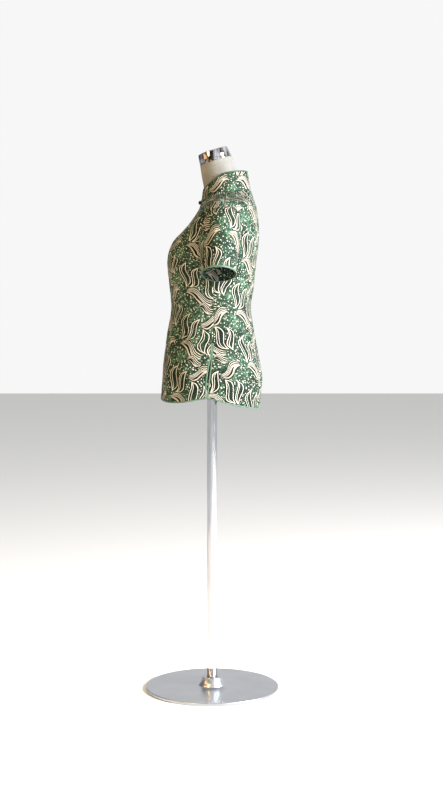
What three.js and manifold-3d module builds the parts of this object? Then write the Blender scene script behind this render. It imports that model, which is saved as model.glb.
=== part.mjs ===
// A short-sleeved qipao top with a stand collar, a diagonal front opening and side slits, worn on a
// limbless dress form that stands on a round base. Millimetres, +Z up, +X to the wearer's left, the
// front towards -Y. The origin is the middle of the base's underside.
import * as THREE from "three";
import Module from "manifold-3d";
import { mergeVertices } from "three/addons/utils/BufferGeometryUtils.js";

const wasm = await Module();
wasm.setup();

// Cloth and seams
const CLOTH = 1.6; // wall of the printed cloth
const COLLAR_WALL = 2.2; // two layers of cloth over a stiffener
const SEAM_GAP = 0.3; // between pieces that are sewn together
const BINDING_WIDTH = 4; // bias binding of the hems, slits, cuffs and collar
const BINDING_PROUD = 0.4; // how far a bound edge stands out on each face of the cloth
const PIPING_WIDTH = 4.4; // binding of the diagonal opening
const PIPING_WALL = 1.1;
const PIPING_LIFT = 0.6; // its underside above the two pieces that it covers

// Levels on the garment, as distances up the side of the cloth from the hem
const SLIT_TOP = 163;
const DIAGONAL_FOOT = 372; // where the opening's edge meets the right side seam
const UNDERARM = 392;
const SHOULDER_POINT = 533;
const NECK_SEAM = 664;

// The garment's outer surface, as rings from the hem to the neck seam: up, where the ring crosses the
// centre front (Y, Z), the side (X, Y, Z) and the centre back (Y, Z), and how square its front and back
// halves are in plan.
const RING_COLUMNS = [
  "up", "frontY", "frontZ", "sideX", "sideY", "sideZ", "backY", "backZ", "frontSquare", "backSquare",
];
const RINGS = [
  [0, -140, 810, 181, -16, 809, 130, 784, 2.8, 2.45],
  [70, -135.5, 876, 178, -9, 878, 138.5, 864, 2.8, 2.45],
  [130, -130, 933, 170, -1, 936, 128.5, 930, 2.65, 2.35],
  [185, -123, 987, 158, 4, 989, 117, 987, 2.45, 2.3],
  [258, -111.5, 1060, 142.5, 5, 1060, 107, 1062, 2.3, 2.25],
  [315, -115.5, 1115, 148.5, 4, 1115, 114.5, 1120, 2.3, 2.25],
  [392, -120, 1192, 162, 6, 1190, 122, 1193, 2.3, 2.3],
  [438, -107, 1236, 165, 15, 1236, 128, 1240, 2.35, 2.35],
  [480, -80.5, 1266, 172, 23, 1278, 127.5, 1284, 2.35, 2.35],
  [512, -62.5, 1286, 181, 28, 1309, 124, 1316, 2.3, 2.3],
  [533, -53, 1299, 184, 30, 1326, 121, 1334, 2.25, 2.25],
  [556, -44, 1312, 166, 32, 1338, 117.5, 1346, 2.2, 2.2],
  [598, -34, 1330, 126, 34, 1351, 112, 1362, 2.1, 2.1],
  [634, -29.5, 1343, 91, 35, 1361, 108, 1374, 2.05, 2.05],
  [664, -27.5, 1354, 64, 36, 1372, 105, 1384, 2.05, 2.05],
].map((row) => Object.fromEntries(RING_COLUMNS.map((name, k) => [name, row[k]])));

// Large soft folds and fullness, as ridges (rise above 0) and troughs on the rings. angle is measured
// from the centre front towards the wearer's left, and lean is how far a fold drifts going up.
const FOLDS = [
  { name: "left bust", angle: 40, up: 388, width: 24, length: 62, rise: 6, lean: 0 },
  { name: "right bust", angle: -40, up: 388, width: 24, length: 62, rise: 6, lean: 0 },
  { name: "left front corner", angle: 57, up: 0, width: 7, length: 160, rise: 5, lean: -0.085 },
  { name: "right front corner", angle: -58, up: 0, width: 8, length: 145, rise: 4.4, lean: 0.08 },
  { name: "left front hollow", angle: 28, up: 10, width: 11, length: 130, rise: -3, lean: 0 },
  { name: "right front hollow", angle: -24, up: 20, width: 12, length: 120, rise: -2.6, lean: 0 },
  { name: "left side trough", angle: 61, up: 70, width: 6, length: 115, rise: -3.4, lean: -0.075 },
  { name: "right side trough", angle: -63, up: 60, width: 7, length: 105, rise: -2.8, lean: 0.07 },
  { name: "left back ridge", angle: 133, up: 10, width: 9, length: 120, rise: 3.2, lean: 0.03 },
  { name: "right back ridge", angle: 230, up: 0, width: 9, length: 130, rise: 3.4, lean: -0.03 },
  { name: "back hollow", angle: 184, up: 30, width: 14, length: 95, rise: -2.4, lean: 0 },
  { name: "back waist drag left", angle: 150, up: 262, width: 22, length: 17, rise: -2, lean: 0 },
  { name: "back waist drag right", angle: 212, up: 274, width: 24, length: 16, rise: -2, lean: 0 },
  { name: "left side waist drag", angle: 96, up: 292, width: 18, length: 15, rise: -1.6, lean: 0 },
];

// The hem rises a little towards each slit, and the rise fades out by this level.
const HEM_LIFT = 12;
const HEM_LIFT_SPREAD = 15; // degrees
const HEM_LIFT_FADES_AT = 150;

// The slits stand open in the middle and close towards the hem.
const SLIT_OPEN = 4.4;
const SLIT_OPEN_AT_HEM = 1;

// Each armhole is an oval in angle and level, wider behind than in front.
const ARMHOLE_FRONT_BITE = 18; // degrees
const ARMHOLE_BACK_BITE = 20;
const ARMHOLE_STEPS = 12;

// Sleeves: the cuff is a tilted oval that hangs beside the body.
const CUFF_INNER = new THREE.Vector3(167, 19, 1130);
const CUFF_OUTER = new THREE.Vector3(266, 19, 1167);
const CUFF_HALF_DEPTH = 46;
const SLEEVE_ROWS = 9;

// Collar
const COLLAR_TOP = { frontY: -24.5, sideX: 59.5, sideY: 36, backY: 97, frontSquare: 2.25, backSquare: 2.05 };
const COLLAR_SIDE_Z = 1424;
const COLLAR_FRONT_DROP = 43;
const COLLAR_BACK_RISE = 7;
const COLLAR_CORNER = 17; // degrees over which the front corner is rounded
const COLLAR_FRONT_HALF_GAP = 1.6; // degrees
const COLLAR_STRAIGHT = 7; // height of the straight foot of the front edge
const COLLAR_ROUNDNESS = 2.4;
const COLLAR_BINDING_TURN = 3.6; // degrees that the front edge's binding takes at the foot

// Frogs: a flat looped strip on each side of the opening and a ball knot between them. turn is how many
// degrees the strip on the front panel drops below the level, and step is where it leaves the binding.
const FROG_LEG_WIDTH = 7.8;
const FROG_LEG_WALL = 2.2;
const FROG_LIFT = 0.5; // above the cloth or the binding
const FROG_KNOT_RADIUS = 4.4;
const FROG_KNOT_HALF_HEIGHT = 2.8;
const FROGS = [
  { name: "throat", up: 641, length: 22, turn: 8, step: 6 },
  { name: "chest", up: 480, length: 26, turn: 36, step: 5 },
];

// Dress form: how far its surface lies inside the garment's, then its neck as tilted rings
const FORM_BOTTOM_Z = 862;
const FORM_COLUMNS = 28;
const FORM_INSET = [
  { up: 40, depth: 16 },
  { up: 130, depth: 15 },
  { up: 258, depth: 11 },
  { up: 330, depth: 7 },
  { up: 392, depth: 5 },
  { up: 600, depth: 4.6 },
  { up: 650, depth: 5.5 },
];
const NECK_RINGS = [
  { y: 34, z: 1369, halfWidth: 55, halfDepth: 57.5, tilt: 14 },
  { y: 31.5, z: 1386, halfWidth: 48.5, halfDepth: 54, tilt: 14 },
  { y: 27.5, z: 1404, halfWidth: 46.5, halfDepth: 52, tilt: 15 },
  { y: 19.5, z: 1430, halfWidth: 45.5, halfDepth: 49, tilt: 16.5 },
  { y: 10.7, z: 1459, halfWidth: 44.8, halfDepth: 44.8, tilt: 18 },
];
const CAP_HEIGHT = 29;
const CAP_TOP_RADIUS = 41.5;
const CAP_EDGE_RADIUS = 3;

// Stand
const POLE_RADIUS = 14;
const POLE_SEAT = 11; // depth of the pole's foot in the base's boss
const FLANGE_RADIUS = 42;
const FLANGE_WALL = 6;
const BASE_RADIUS = 185;
const BASE_WALL = 9;
const BOSS_RADIUS = 30;
const BOSS_TOP = 34;

const COLOURS = {
  print: { color: 0x4c7f5f, roughness: 0.62, metalness: 0 },
  binding: { color: 0x9cc7a8, roughness: 0.5, metalness: 0 },
  frog: { color: 0x101012, roughness: 0.45, metalness: 0 },
  linen: { color: 0xd9d2c3, roughness: 0.85, metalness: 0 },
  chrome: { color: 0xd8dade, roughness: 0.12, metalness: 1 },
};

const radians = THREE.MathUtils.degToRad;
const clamp = THREE.MathUtils.clamp;

// A column of a table at a level, as a smooth curve through its rows, and straight beyond its ends.
function alongTable(table, column, up) {
  const last = table.length - 1;
  const slope = (i) => {
    const before = table[Math.max(i - 1, 0)];
    const after = table[Math.min(i + 1, last)];
    return (after[column] - before[column]) / (after.up - before.up);
  };
  if (up <= table[0].up) return table[0][column] + slope(0) * (up - table[0].up);
  if (up >= table[last].up) return table[last][column] + slope(last) * (up - table[last].up);
  const i = table.findIndex((row) => row.up > up) - 1;
  const step = table[i + 1].up - table[i].up;
  const t = (up - table[i].up) / step;
  return (
    table[i][column] * (1 + 2 * t) * (1 - t) ** 2 +
    table[i + 1][column] * t * t * (3 - 2 * t) +
    step * (slope(i) * t * (1 - t) ** 2 - slope(i + 1) * t * t * (1 - t))
  );
}

// The signed difference between two directions in degrees, from -180 to 180.
const turnBetween = (angle, from) => ((((angle - from + 180) % 360) + 360) % 360) - 180;

// How far a direction is from the nearer side seam, in degrees.
const fromSide = (angle) => Math.abs(Math.abs(turnBetween(angle, 0)) - 90);

function relief(angle, up) {
  let sum = 0;
  for (const fold of FOLDS) {
    const across = turnBetween(angle, fold.angle + fold.lean * (up - fold.up)) / fold.width;
    const along = (up - fold.up) / fold.length;
    sum += fold.rise * Math.exp(-across * across - along * along);
  }
  return sum;
}

// A point of an egg-shaped ring in plan: radius in a direction, and how far forward or back it lies.
function planRadius(ring, angle) {
  const ahead = Math.cos(radians(angle));
  const aside = Math.abs(Math.sin(radians(angle)));
  const depth = ahead >= 0 ? ring.sideY - ring.frontY : ring.backY - ring.sideY;
  const square = ahead >= 0 ? ring.frontSquare : ring.backSquare;
  const sum = (Math.abs(ahead) / depth) ** square + (aside / ring.sideX) ** square;
  return { radius: sum ** (-1 / square), depth, ahead };
}

function garmentPoint(angle, up) {
  const ring = {};
  for (const column of Object.keys(RINGS[0])) ring[column] = alongTable(RINGS, column, up);
  const plan = planRadius(ring, angle);
  const endZ = plan.ahead >= 0 ? ring.frontZ : ring.backZ;
  const share = (plan.radius * plan.ahead) / plan.depth;
  const radius = plan.radius + relief(angle, up);
  return new THREE.Vector3(
    radius * Math.sin(radians(angle)),
    ring.sideY - radius * plan.ahead,
    ring.sideZ + (endZ - ring.sideZ) * share * share,
  );
}

// The garment's surface at a direction and level: its point, outward normal and scales.
function garmentSurface(angle, up) {
  const turn = 0.4;
  const rise = 0.8;
  const alongRing = garmentPoint(angle + turn, up).sub(garmentPoint(angle - turn, up));
  const upward = garmentPoint(angle, up + rise).sub(garmentPoint(angle, up - rise));
  return {
    point: garmentPoint(angle, up),
    normal: alongRing.clone().cross(upward).normalize(),
    perDegree: alongRing.length() / (2 * turn),
    perLevel: upward.length() / (2 * rise),
  };
}

const liftedUp = (angle, rowUp) => {
  const lift = HEM_LIFT * Math.exp(-((fromSide(angle) / HEM_LIFT_SPREAD) ** 2));
  return rowUp + lift * Math.max(0, 1 - rowUp / HEM_LIFT_FADES_AT);
};

const slitOpening = (up) =>
  SLIT_OPEN_AT_HEM + (SLIT_OPEN - SLIT_OPEN_AT_HEM) * Math.sin(Math.PI * clamp(up / SLIT_TOP, 0, 1)) ** 0.8;

// How far a panel's side edge lies from the side seam's line. Below the slit's top it makes room for
// half the slit and for the binding.
const sideInset = (up) =>
  up > SLIT_TOP + 1 ? SEAM_GAP / 2 : slitOpening(up) / 2 + BINDING_WIDTH + SEAM_GAP;

const offSide = (sideAngle, towards, up, distance) =>
  sideAngle + (towards * distance) / garmentSurface(sideAngle, up).perDegree;

// The armhole's edge at a level, in degrees in front of or behind the side.
function armholeBite(up, bite) {
  const middle = (UNDERARM + SHOULDER_POINT) / 2;
  const share = (up - middle) / ((SHOULDER_POINT - UNDERARM) / 2);
  return bite * Math.sqrt(Math.max(0, 1 - share * share));
}

const DIAGONAL_POWER = 0.833;
const diagonalAngle = (up) =>
  -90 + 90 * clamp((up - DIAGONAL_FOOT) / (NECK_SEAM - DIAGONAL_FOOT), 0, 1) ** DIAGONAL_POWER;

// The diagonal's direction on the cloth: the sine of its angle to the rings, for widths across it.
function diagonalSteepness(up) {
  const step = 1;
  const surface = garmentSurface(diagonalAngle(up), up);
  const run = ((diagonalAngle(up + step) - diagonalAngle(up - step)) / (2 * step)) * surface.perDegree;
  return surface.perLevel / Math.hypot(run, surface.perLevel);
}

const offDiagonal = (up, distance) =>
  diagonalAngle(up) +
  distance / diagonalSteepness(up) / garmentSurface(diagonalAngle(up), up).perDegree;

// Levels of the rows that all panels share
const SIDE_LEVELS = [
  BINDING_WIDTH + SEAM_GAP, 32, 60, 88, 116, 142, SLIT_TOP + 0.5, SLIT_TOP + 2.5,
  192, 222, 252, 282, 312, 342,
];
const ARMHOLE_LEVELS = Array.from({ length: ARMHOLE_STEPS }, (_, k) => {
  const turned = (Math.PI * (k + 1)) / ARMHOLE_STEPS;
  return UNDERARM + ((SHOULDER_POINT - UNDERARM) * (1 - Math.cos(turned))) / 2;
});
const SHOULDER_LEVELS = [556, 582, 608, 634, NECK_SEAM];
const DIAGONAL_LEVELS = [DIAGONAL_FOOT + 3, 383, UNDERARM, ...ARMHOLE_LEVELS, ...SHOULDER_LEVELS];
const PANEL_LEVELS = [...SIDE_LEVELS, DIAGONAL_FOOT, ...DIAGONAL_LEVELS];

// The edge of a front or back panel at a level. side is 90 or -90, and towards is the direction in
// degrees that leads from the side seam into the panel.
function panelEdge(side, towards, bite, up) {
  if (up > UNDERARM && up < SHOULDER_POINT - 1) return side + towards * armholeBite(up, bite);
  return offSide(side, towards, up, sideInset(up));
}

// A closed wall over a grid of surface points, from outer to inner, both measured out from the
// surface. A looped grid closes on itself along its rows.
function wall(grid, { outer = 0, inner = -CLOTH, loop = false } = {}) {
  const rows = grid.length;
  const columns = grid[0].length;
  const positions = [];
  for (const offset of [outer, inner])
    for (const row of grid)
      for (const spot of row) positions.push(...spot.point.clone().addScaledVector(spot.normal, offset));
  const index = [];
  const quad = (a, b, c, d) => index.push(a, b, c, a, c, d);
  const at = (face, i, j) => (face * rows + i) * columns + (j % columns);
  const spans = loop ? columns : columns - 1;
  for (let i = 0; i < rows - 1; i++)
    for (let j = 0; j < spans; j++) {
      quad(at(0, i, j), at(0, i, j + 1), at(0, i + 1, j + 1), at(0, i + 1, j));
      quad(at(1, i, j), at(1, i + 1, j), at(1, i + 1, j + 1), at(1, i, j + 1));
    }
  for (let j = 0; j < spans; j++) {
    quad(at(0, 0, j), at(1, 0, j), at(1, 0, j + 1), at(0, 0, j + 1));
    quad(at(0, rows - 1, j), at(0, rows - 1, j + 1), at(1, rows - 1, j + 1), at(1, rows - 1, j));
  }
  if (!loop)
    for (let i = 0; i < rows - 1; i++) {
      quad(at(0, i, 0), at(0, i + 1, 0), at(1, i + 1, 0), at(1, i, 0));
      const far = columns - 1;
      quad(at(0, i, far), at(1, i, far), at(1, i + 1, far), at(0, i + 1, far));
    }
  return facingOut(positions, index);
}

// A geometry from positions and triangles, turned so that its faces point out.
function facingOut(positions, index) {
  const corner = (k) => new THREE.Vector3().fromArray(positions, 3 * k);
  let volume = 0;
  for (let t = 0; t < index.length; t += 3)
    volume += corner(index[t]).dot(corner(index[t + 1]).cross(corner(index[t + 2])));
  if (volume < 0) index.reverse();
  const geometry = new THREE.BufferGeometry();
  geometry.setAttribute("position", new THREE.Float32BufferAttribute(positions, 3));
  geometry.setIndex(index);
  geometry.computeVertexNormals();
  return geometry;
}

const spread = (from, to, count) =>
  Array.from({ length: count + 1 }, (_, j) => from + ((to - from) * j) / count);

// A grid of garment points between two edges, one row for each level.
function panelGrid(levels, edges, columns) {
  return levels.map((level) => {
    const [from, to] = edges(level);
    return spread(from, to, columns).map((angle) => garmentSurface(angle, liftedUp(angle, level)));
  });
}

const frontEdges = (up) => [
  up > DIAGONAL_FOOT ? offDiagonal(up, SEAM_GAP / 2) : panelEdge(-90, 1, ARMHOLE_FRONT_BITE, up),
  panelEdge(90, -1, ARMHOLE_FRONT_BITE, up),
];
const backEdges = (up) => [
  panelEdge(90, 1, ARMHOLE_BACK_BITE, up),
  panelEdge(270, -1, ARMHOLE_BACK_BITE, up),
];
const chestEdges = (up) => [panelEdge(-90, 1, ARMHOLE_FRONT_BITE, up), offDiagonal(up, -SEAM_GAP / 2)];

const FRONT_COLUMNS = 24;
const BACK_COLUMNS = 22;
const CHEST_COLUMNS = 6;

const frontPanel = () => wall(panelGrid(PANEL_LEVELS, frontEdges, FRONT_COLUMNS));
const backPanel = () => wall(panelGrid(PANEL_LEVELS, backEdges, BACK_COLUMNS));
const chestPanel = () => wall(panelGrid(DIAGONAL_LEVELS, chestEdges, CHEST_COLUMNS));

// The binding of one panel's slits and hem, as one band that turns the two hem corners.
function hemBinding(edges, columns) {
  const [fromSideSeam, toSideSeam] = edges(SLIT_TOP).map((angle) => Math.round(angle / 90) * 90);
  const between = SIDE_LEVELS.filter((up) => up > BINDING_WIDTH + 1 && up < SLIT_TOP);
  const slitLevels = [BINDING_WIDTH, ...between, SLIT_TOP];
  const slitStation = (side, towards, up) => [
    [offSide(side, towards, up, slitOpening(up) / 2 + BINDING_WIDTH), up],
    [offSide(side, towards, up, slitOpening(up) / 2), up === BINDING_WIDTH ? 0 : up],
  ];
  const [from, to] = edges(BINDING_WIDTH + SEAM_GAP);
  const stations = [
    ...slitLevels.toReversed().map((up) => slitStation(fromSideSeam, 1, up)),
    ...spread(from, to, columns).map((angle) => [[angle, BINDING_WIDTH], [angle, 0]]),
    ...slitLevels.map((up) => slitStation(toSideSeam, -1, up)),
  ];
  const grid = stations.map((pair) => pair.map(([angle, up]) => garmentSurface(angle, liftedUp(angle, up))));
  return wall(grid, { outer: BINDING_PROUD, inner: -CLOTH - BINDING_PROUD });
}

// The binding that lies along the diagonal opening, over the joint of the two front pieces.
function diagonalPiping() {
  const grid = DIAGONAL_LEVELS.map((up) =>
    [-PIPING_WIDTH / 2, PIPING_WIDTH / 2].map((distance) => garmentSurface(offDiagonal(up, distance), up)),
  );
  return wall(grid, { outer: PIPING_LIFT + PIPING_WALL, inner: PIPING_LIFT });
}

// Sleeves. turned runs round the armhole and the cuff together: 0 at the underarm, a quarter turn at
// the front, a half turn at the shoulder point.
function sleevePoint(turned, down) {
  const bite = Math.sin(turned) >= 0 ? ARMHOLE_FRONT_BITE : ARMHOLE_BACK_BITE;
  const half = (SHOULDER_POINT - UNDERARM) / 2;
  const seam = garmentSurface(90 - bite * Math.sin(turned), UNDERARM + half - half * Math.cos(turned));
  const upper = (1 - Math.cos(turned)) / 2;
  const leaving = new THREE.Vector3(0.84 + 0.04 * upper, -0.1 * Math.sin(turned), -0.52 + 0.06 * upper);
  leaving.normalize();
  const start = seam.point.clone().addScaledVector(leaving, 1.5 * SEAM_GAP);
  const across = CUFF_OUTER.clone().sub(CUFF_INNER);
  const cuff = CUFF_INNER.clone()
    .addScaledVector(across, upper)
    .add(new THREE.Vector3(0, -CUFF_HALF_DEPTH * Math.sin(turned), 0));
  const arriving = new THREE.Vector3(0.34 - 0.08 * upper, 0, -0.94).normalize();
  const curve = new THREE.CubicBezierCurve3(
    start,
    start.clone().addScaledVector(leaving, 10 + 45 * upper),
    cuff.clone().addScaledVector(arriving, -(20 + 55 * upper)),
    cuff,
  );
  return curve.getPoint(down);
}

function sleeveSurface(turned, down) {
  const step = 0.01;
  const [above, below] = [Math.max(down - step, 0), Math.min(down + step, 1)];
  const round = sleevePoint(turned + step, down).sub(sleevePoint(turned - step, down));
  const along = sleevePoint(turned, below).sub(sleevePoint(turned, above));
  return { point: sleevePoint(turned, down), normal: along.cross(round).normalize() };
}

// Mirrors surface points to the wearer's right.
const mirrored = (spot) => ({
  point: spot.point.clone().multiply(new THREE.Vector3(-1, 1, 1)),
  normal: spot.normal.clone().multiply(new THREE.Vector3(-1, 1, 1)),
});

const SLEEVE_LENGTH = 165; // mean, for the binding's share of it
const CUFF_SHARE = BINDING_WIDTH / SLEEVE_LENGTH;
const GAP_SHARE = SEAM_GAP / SLEEVE_LENGTH;
const SLEEVE_TURNS = Array.from({ length: 2 * ARMHOLE_STEPS }, (_, k) => (Math.PI * k) / ARMHOLE_STEPS);

function sleeveWall(shares, place, options = {}) {
  const grid = shares.map((down) => SLEEVE_TURNS.map((turned) => place(sleeveSurface(turned, down))));
  return wall(grid, { loop: true, ...options });
}

const sleeve = (place) => sleeveWall(spread(0, 1 - CUFF_SHARE - GAP_SHARE, SLEEVE_ROWS), place);
const cuffBinding = (place) =>
  sleeveWall([1 - CUFF_SHARE, 1], place, { outer: BINDING_PROUD, inner: -CLOTH - BINDING_PROUD });

// Collar: its foot stands on the neck seam, and its top edge drops in a rounded corner to the front.
function collarFoot(angle) {
  return garmentPoint(angle, NECK_SEAM).add(new THREE.Vector3(0, 0, SEAM_GAP + 0.05));
}

function collarTop(angle) {
  const { radius, depth, ahead } = planRadius(COLLAR_TOP, angle);
  const share = Math.abs(radius * ahead) / depth;
  const z =
    ahead >= 0
      ? COLLAR_SIDE_Z - COLLAR_FRONT_DROP * share ** 1.3
      : COLLAR_SIDE_Z + COLLAR_BACK_RISE * (1 - (1 - share) ** 2);
  return new THREE.Vector3(radius * Math.sin(radians(angle)), COLLAR_TOP.sideY - radius * ahead, z);
}

function collarSurface(angle, share) {
  const point = collarFoot(angle).lerp(collarTop(angle), share);
  const around = collarFoot(angle + 0.5).lerp(collarTop(angle + 0.5), share);
  around.sub(collarFoot(angle - 0.5).lerp(collarTop(angle - 0.5), share));
  const rising = collarTop(angle).sub(collarFoot(angle));
  return { point, normal: around.cross(rising).normalize() };
}

// The collar's free edge, from the foot at the right front round the back to the left front.
function collarEdge() {
  const corner = [0.04, 0.12, 0.25, 0.42, 0.62, 0.82, 1].map((share) => {
    const height = (1 - (1 - share) ** COLLAR_ROUNDNESS) ** (1 / COLLAR_ROUNDNESS);
    const full = collarTop(COLLAR_FRONT_HALF_GAP).distanceTo(collarFoot(COLLAR_FRONT_HALF_GAP));
    const straight = COLLAR_STRAIGHT / full;
    const angle = COLLAR_FRONT_HALF_GAP + COLLAR_CORNER * share;
    return { angle, share: straight + (1 - straight) * height };
  });
  const left = [
    { angle: COLLAR_FRONT_HALF_GAP, share: 0 },
    { angle: COLLAR_FRONT_HALF_GAP, share: COLLAR_STRAIGHT / 30 },
    ...corner,
    ...spread(COLLAR_FRONT_HALF_GAP + COLLAR_CORNER, 180, 16).slice(1).map((angle) => ({ angle, share: 1 })),
  ];
  const right = left.slice(0, -1).toReversed().map(({ angle, share }) => ({ angle: 360 - angle, share }));
  return [...left, ...right].map(({ angle, share }) => collarSurface(angle, share));
}

// Points that lie a distance in from a free edge, square to it and in the cloth's surface.
function inFromEdge(edge, distance) {
  return edge.map((spot, k) => {
    const before = edge[Math.max(k - 1, 0)].point;
    const after = edge[Math.min(k + 1, edge.length - 1)].point;
    const along = after.clone().sub(before).normalize();
    const inward = along.cross(spot.normal).normalize();
    return { point: spot.point.clone().addScaledVector(inward, distance), normal: spot.normal };
  });
}

const COLLAR_ROWS = 4;
function collar() {
  const rim = inFromEdge(collarEdge(), BINDING_WIDTH + SEAM_GAP).slice(1, -1);
  const columns = rim.map((spot) => {
    const angle = THREE.MathUtils.radToDeg(Math.atan2(spot.point.x, COLLAR_TOP.sideY - spot.point.y));
    const foot = collarFoot(angle);
    const normal = collarSurface(angle, 0.5).normal;
    const heights = spread(0, 1, COLLAR_ROWS);
    return heights.map((share) => ({ point: foot.clone().lerp(spot.point, share), normal }));
  });
  return wall(columns, { inner: -COLLAR_WALL });
}

function collarBinding() {
  const edge = collarEdge();
  const rim = inFromEdge(edge, BINDING_WIDTH);
  rim[0] = collarSurface(COLLAR_FRONT_HALF_GAP + COLLAR_BINDING_TURN, 0);
  rim[rim.length - 1] = collarSurface(-COLLAR_FRONT_HALF_GAP - COLLAR_BINDING_TURN, 0);
  const grid = edge.map((spot, k) => [rim[k], spot]);
  return wall(grid, { outer: BINDING_PROUD, inner: -COLLAR_WALL - BINDING_PROUD });
}

// Frogs. A leg is a flat strip that lies over the opening's binding beside the knot, steps down and
// ends on the cloth. side is 1 towards the front panel and -1 towards the chest's.
function frogLeg(frog, side, start) {
  const centre = diagonalAngle(frog.up);
  const { perDegree, perLevel } = garmentSurface(centre, frog.up);
  const square = new THREE.Vector2(1, 0).rotateAround(new THREE.Vector2(), -radians(frog.turn));
  const stations = [
    { along: start, raised: PIPING_LIFT + PIPING_WALL, width: 1 },
    { along: frog.step, raised: PIPING_LIFT + PIPING_WALL, width: 1 },
    ...spread(frog.step + 2, frog.length - 1.5, 3).map((along) => ({ along, raised: 0, width: 1 })),
    { along: frog.length, raised: 0, width: 0.55 },
  ].filter(({ along }) => along >= start);
  const grid = stations.map(({ along, raised, width }) =>
    [-width, width].map((half) => {
      const offset = square.clone().multiplyScalar(side * along);
      offset.add(new THREE.Vector2(-square.y, square.x).multiplyScalar((half * FROG_LEG_WIDTH) / 2));
      const spot = garmentSurface(centre + offset.x / perDegree, frog.up + offset.y / perLevel);
      spot.point.addScaledVector(spot.normal, raised);
      return spot;
    }),
  );
  return wall(grid, { outer: FROG_LIFT + FROG_LEG_WALL, inner: FROG_LIFT });
}

// A geometry as a solid that can be joined, and back.
function solidOf(geometry) {
  const bare = geometry.clone();
  bare.deleteAttribute("normal");
  bare.deleteAttribute("uv");
  const merged = mergeVertices(bare, 1e-4);
  return new wasm.Manifold(
    new wasm.Mesh({
      numProp: 3,
      vertProperties: new Float32Array(merged.attributes.position.array),
      triVerts: new Uint32Array(merged.index.array),
    }),
  );
}

function geometryOf(solid) {
  const mesh = solid.getMesh();
  const geometry = new THREE.BufferGeometry();
  geometry.setAttribute("position", new THREE.BufferAttribute(new Float32Array(mesh.vertProperties), 3));
  geometry.setIndex(new THREE.BufferAttribute(new Uint32Array(mesh.triVerts), 1));
  geometry.computeVertexNormals();
  return geometry;
}

// The half with the knot: its leg runs under the knot.
function frogKnotHalf(frog) {
  const spot = garmentSurface(diagonalAngle(frog.up), frog.up);
  const lift = PIPING_LIFT + PIPING_WALL + FROG_LIFT + FROG_KNOT_HALF_HEIGHT;
  const knot = new THREE.SphereGeometry(FROG_KNOT_RADIUS, 14, 9);
  knot.scale(1, FROG_KNOT_HALF_HEIGHT / FROG_KNOT_RADIUS, 1);
  knot.applyQuaternion(new THREE.Quaternion().setFromUnitVectors(new THREE.Vector3(0, 1, 0), spot.normal));
  knot.translate(...spot.point.clone().addScaledVector(spot.normal, lift));
  return geometryOf(solidOf(frogLeg(frog, 1, -2)).add(solidOf(knot)));
}

const frogLoopHalf = (frog) => frogLeg(frog, -1, FROG_KNOT_RADIUS + 3 * SEAM_GAP);

// Dress form: one smooth closed body from its flat underside to the seat of the neck cap.
function formPoint(angle, up) {
  const { point, normal } = garmentSurface(angle, up);
  const depth = alongTable(FORM_INSET, "depth", clamp(up, FORM_INSET[0].up, FORM_INSET.at(-1).up));
  return point.addScaledVector(normal, -depth);
}

// The level at which the form's surface crosses its underside.
function formFoot(angle) {
  let [low, high] = [0, 200];
  for (let k = 0; k < 30; k++) {
    const middle = (low + high) / 2;
    if (formPoint(angle, middle).z < FORM_BOTTOM_Z) low = middle;
    else high = middle;
  }
  return (low + high) / 2;
}

function neckPoint(ring, angle) {
  const forward = -ring.halfDepth * Math.cos(radians(angle));
  return new THREE.Vector3(
    ring.halfWidth * Math.sin(radians(angle)),
    ring.y + forward * Math.cos(radians(ring.tilt)),
    ring.z + forward * Math.sin(radians(ring.tilt)),
  );
}

function dressForm() {
  const angles = spread(0, 360, FORM_COLUMNS).slice(0, -1);
  const shares = spread(0, 1, 10);
  const rows = [
    ...shares.map((share) => angles.map((angle) => {
      const foot = formFoot(angle);
      return formPoint(angle, foot + (UNDERARM - foot) * share);
    })),
    ...[416, 440, 464, 488, 508, 522, 533, 545, 560, 582, 606, 630, 652].map((up) =>
      angles.map((angle) => formPoint(angle, up))),
    ...NECK_RINGS.map((ring) => angles.map((angle) => neckPoint(ring, angle))),
  ];
  for (const spot of rows[0]) spot.z = FORM_BOTTOM_Z;
  const positions = rows.flat().flatMap((spot) => [...spot]);
  const sumOf = (row) => row.reduce((sum, spot) => sum.add(spot), new THREE.Vector3());
  const middleOf = (row) => sumOf(row).divideScalar(row.length);
  const underside = rows.length * FORM_COLUMNS;
  positions.push(...middleOf(rows[0]), ...middleOf(rows.at(-1)));
  const index = [];
  const at = (i, j) => i * FORM_COLUMNS + (j % FORM_COLUMNS);
  for (let j = 0; j < FORM_COLUMNS; j++) {
    for (let i = 0; i < rows.length - 1; i++)
      index.push(at(i, j), at(i, j + 1), at(i + 1, j + 1), at(i, j), at(i + 1, j + 1), at(i + 1, j));
    index.push(underside, at(0, j + 1), at(0, j));
    index.push(underside + 1, at(rows.length - 1, j), at(rows.length - 1, j + 1));
  }
  return facingOut(positions, index);
}

const lathe = (outline, segments) => {
  const geometry = new THREE.LatheGeometry(outline.map(([r, z]) => new THREE.Vector2(r, z)), segments);
  return geometry.rotateX(Math.PI / 2);
};

// The polished cap on the neck: a short cone with a rounded rim.
function neckCap() {
  const seat = NECK_RINGS.at(-1);
  const rim = spread(0, 90, 3).map((angle) => [
    CAP_TOP_RADIUS - CAP_EDGE_RADIUS * (1 - Math.cos(radians(angle))),
    CAP_HEIGHT - CAP_EDGE_RADIUS * (1 - Math.sin(radians(angle))),
  ]);
  const outline = [[0, 0], [seat.halfWidth, 0], ...rim, [0, CAP_HEIGHT + 0.6]];
  const mesh = meshOf("neck_cap", lathe(outline, 36), COLOURS.chrome);
  mesh.rotation.x = radians(seat.tilt);
  const rise = SEAM_GAP;
  mesh.position.set(0, seat.y - rise * Math.sin(mesh.rotation.x), seat.z + rise * Math.cos(mesh.rotation.x));
  return mesh;
}

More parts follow.
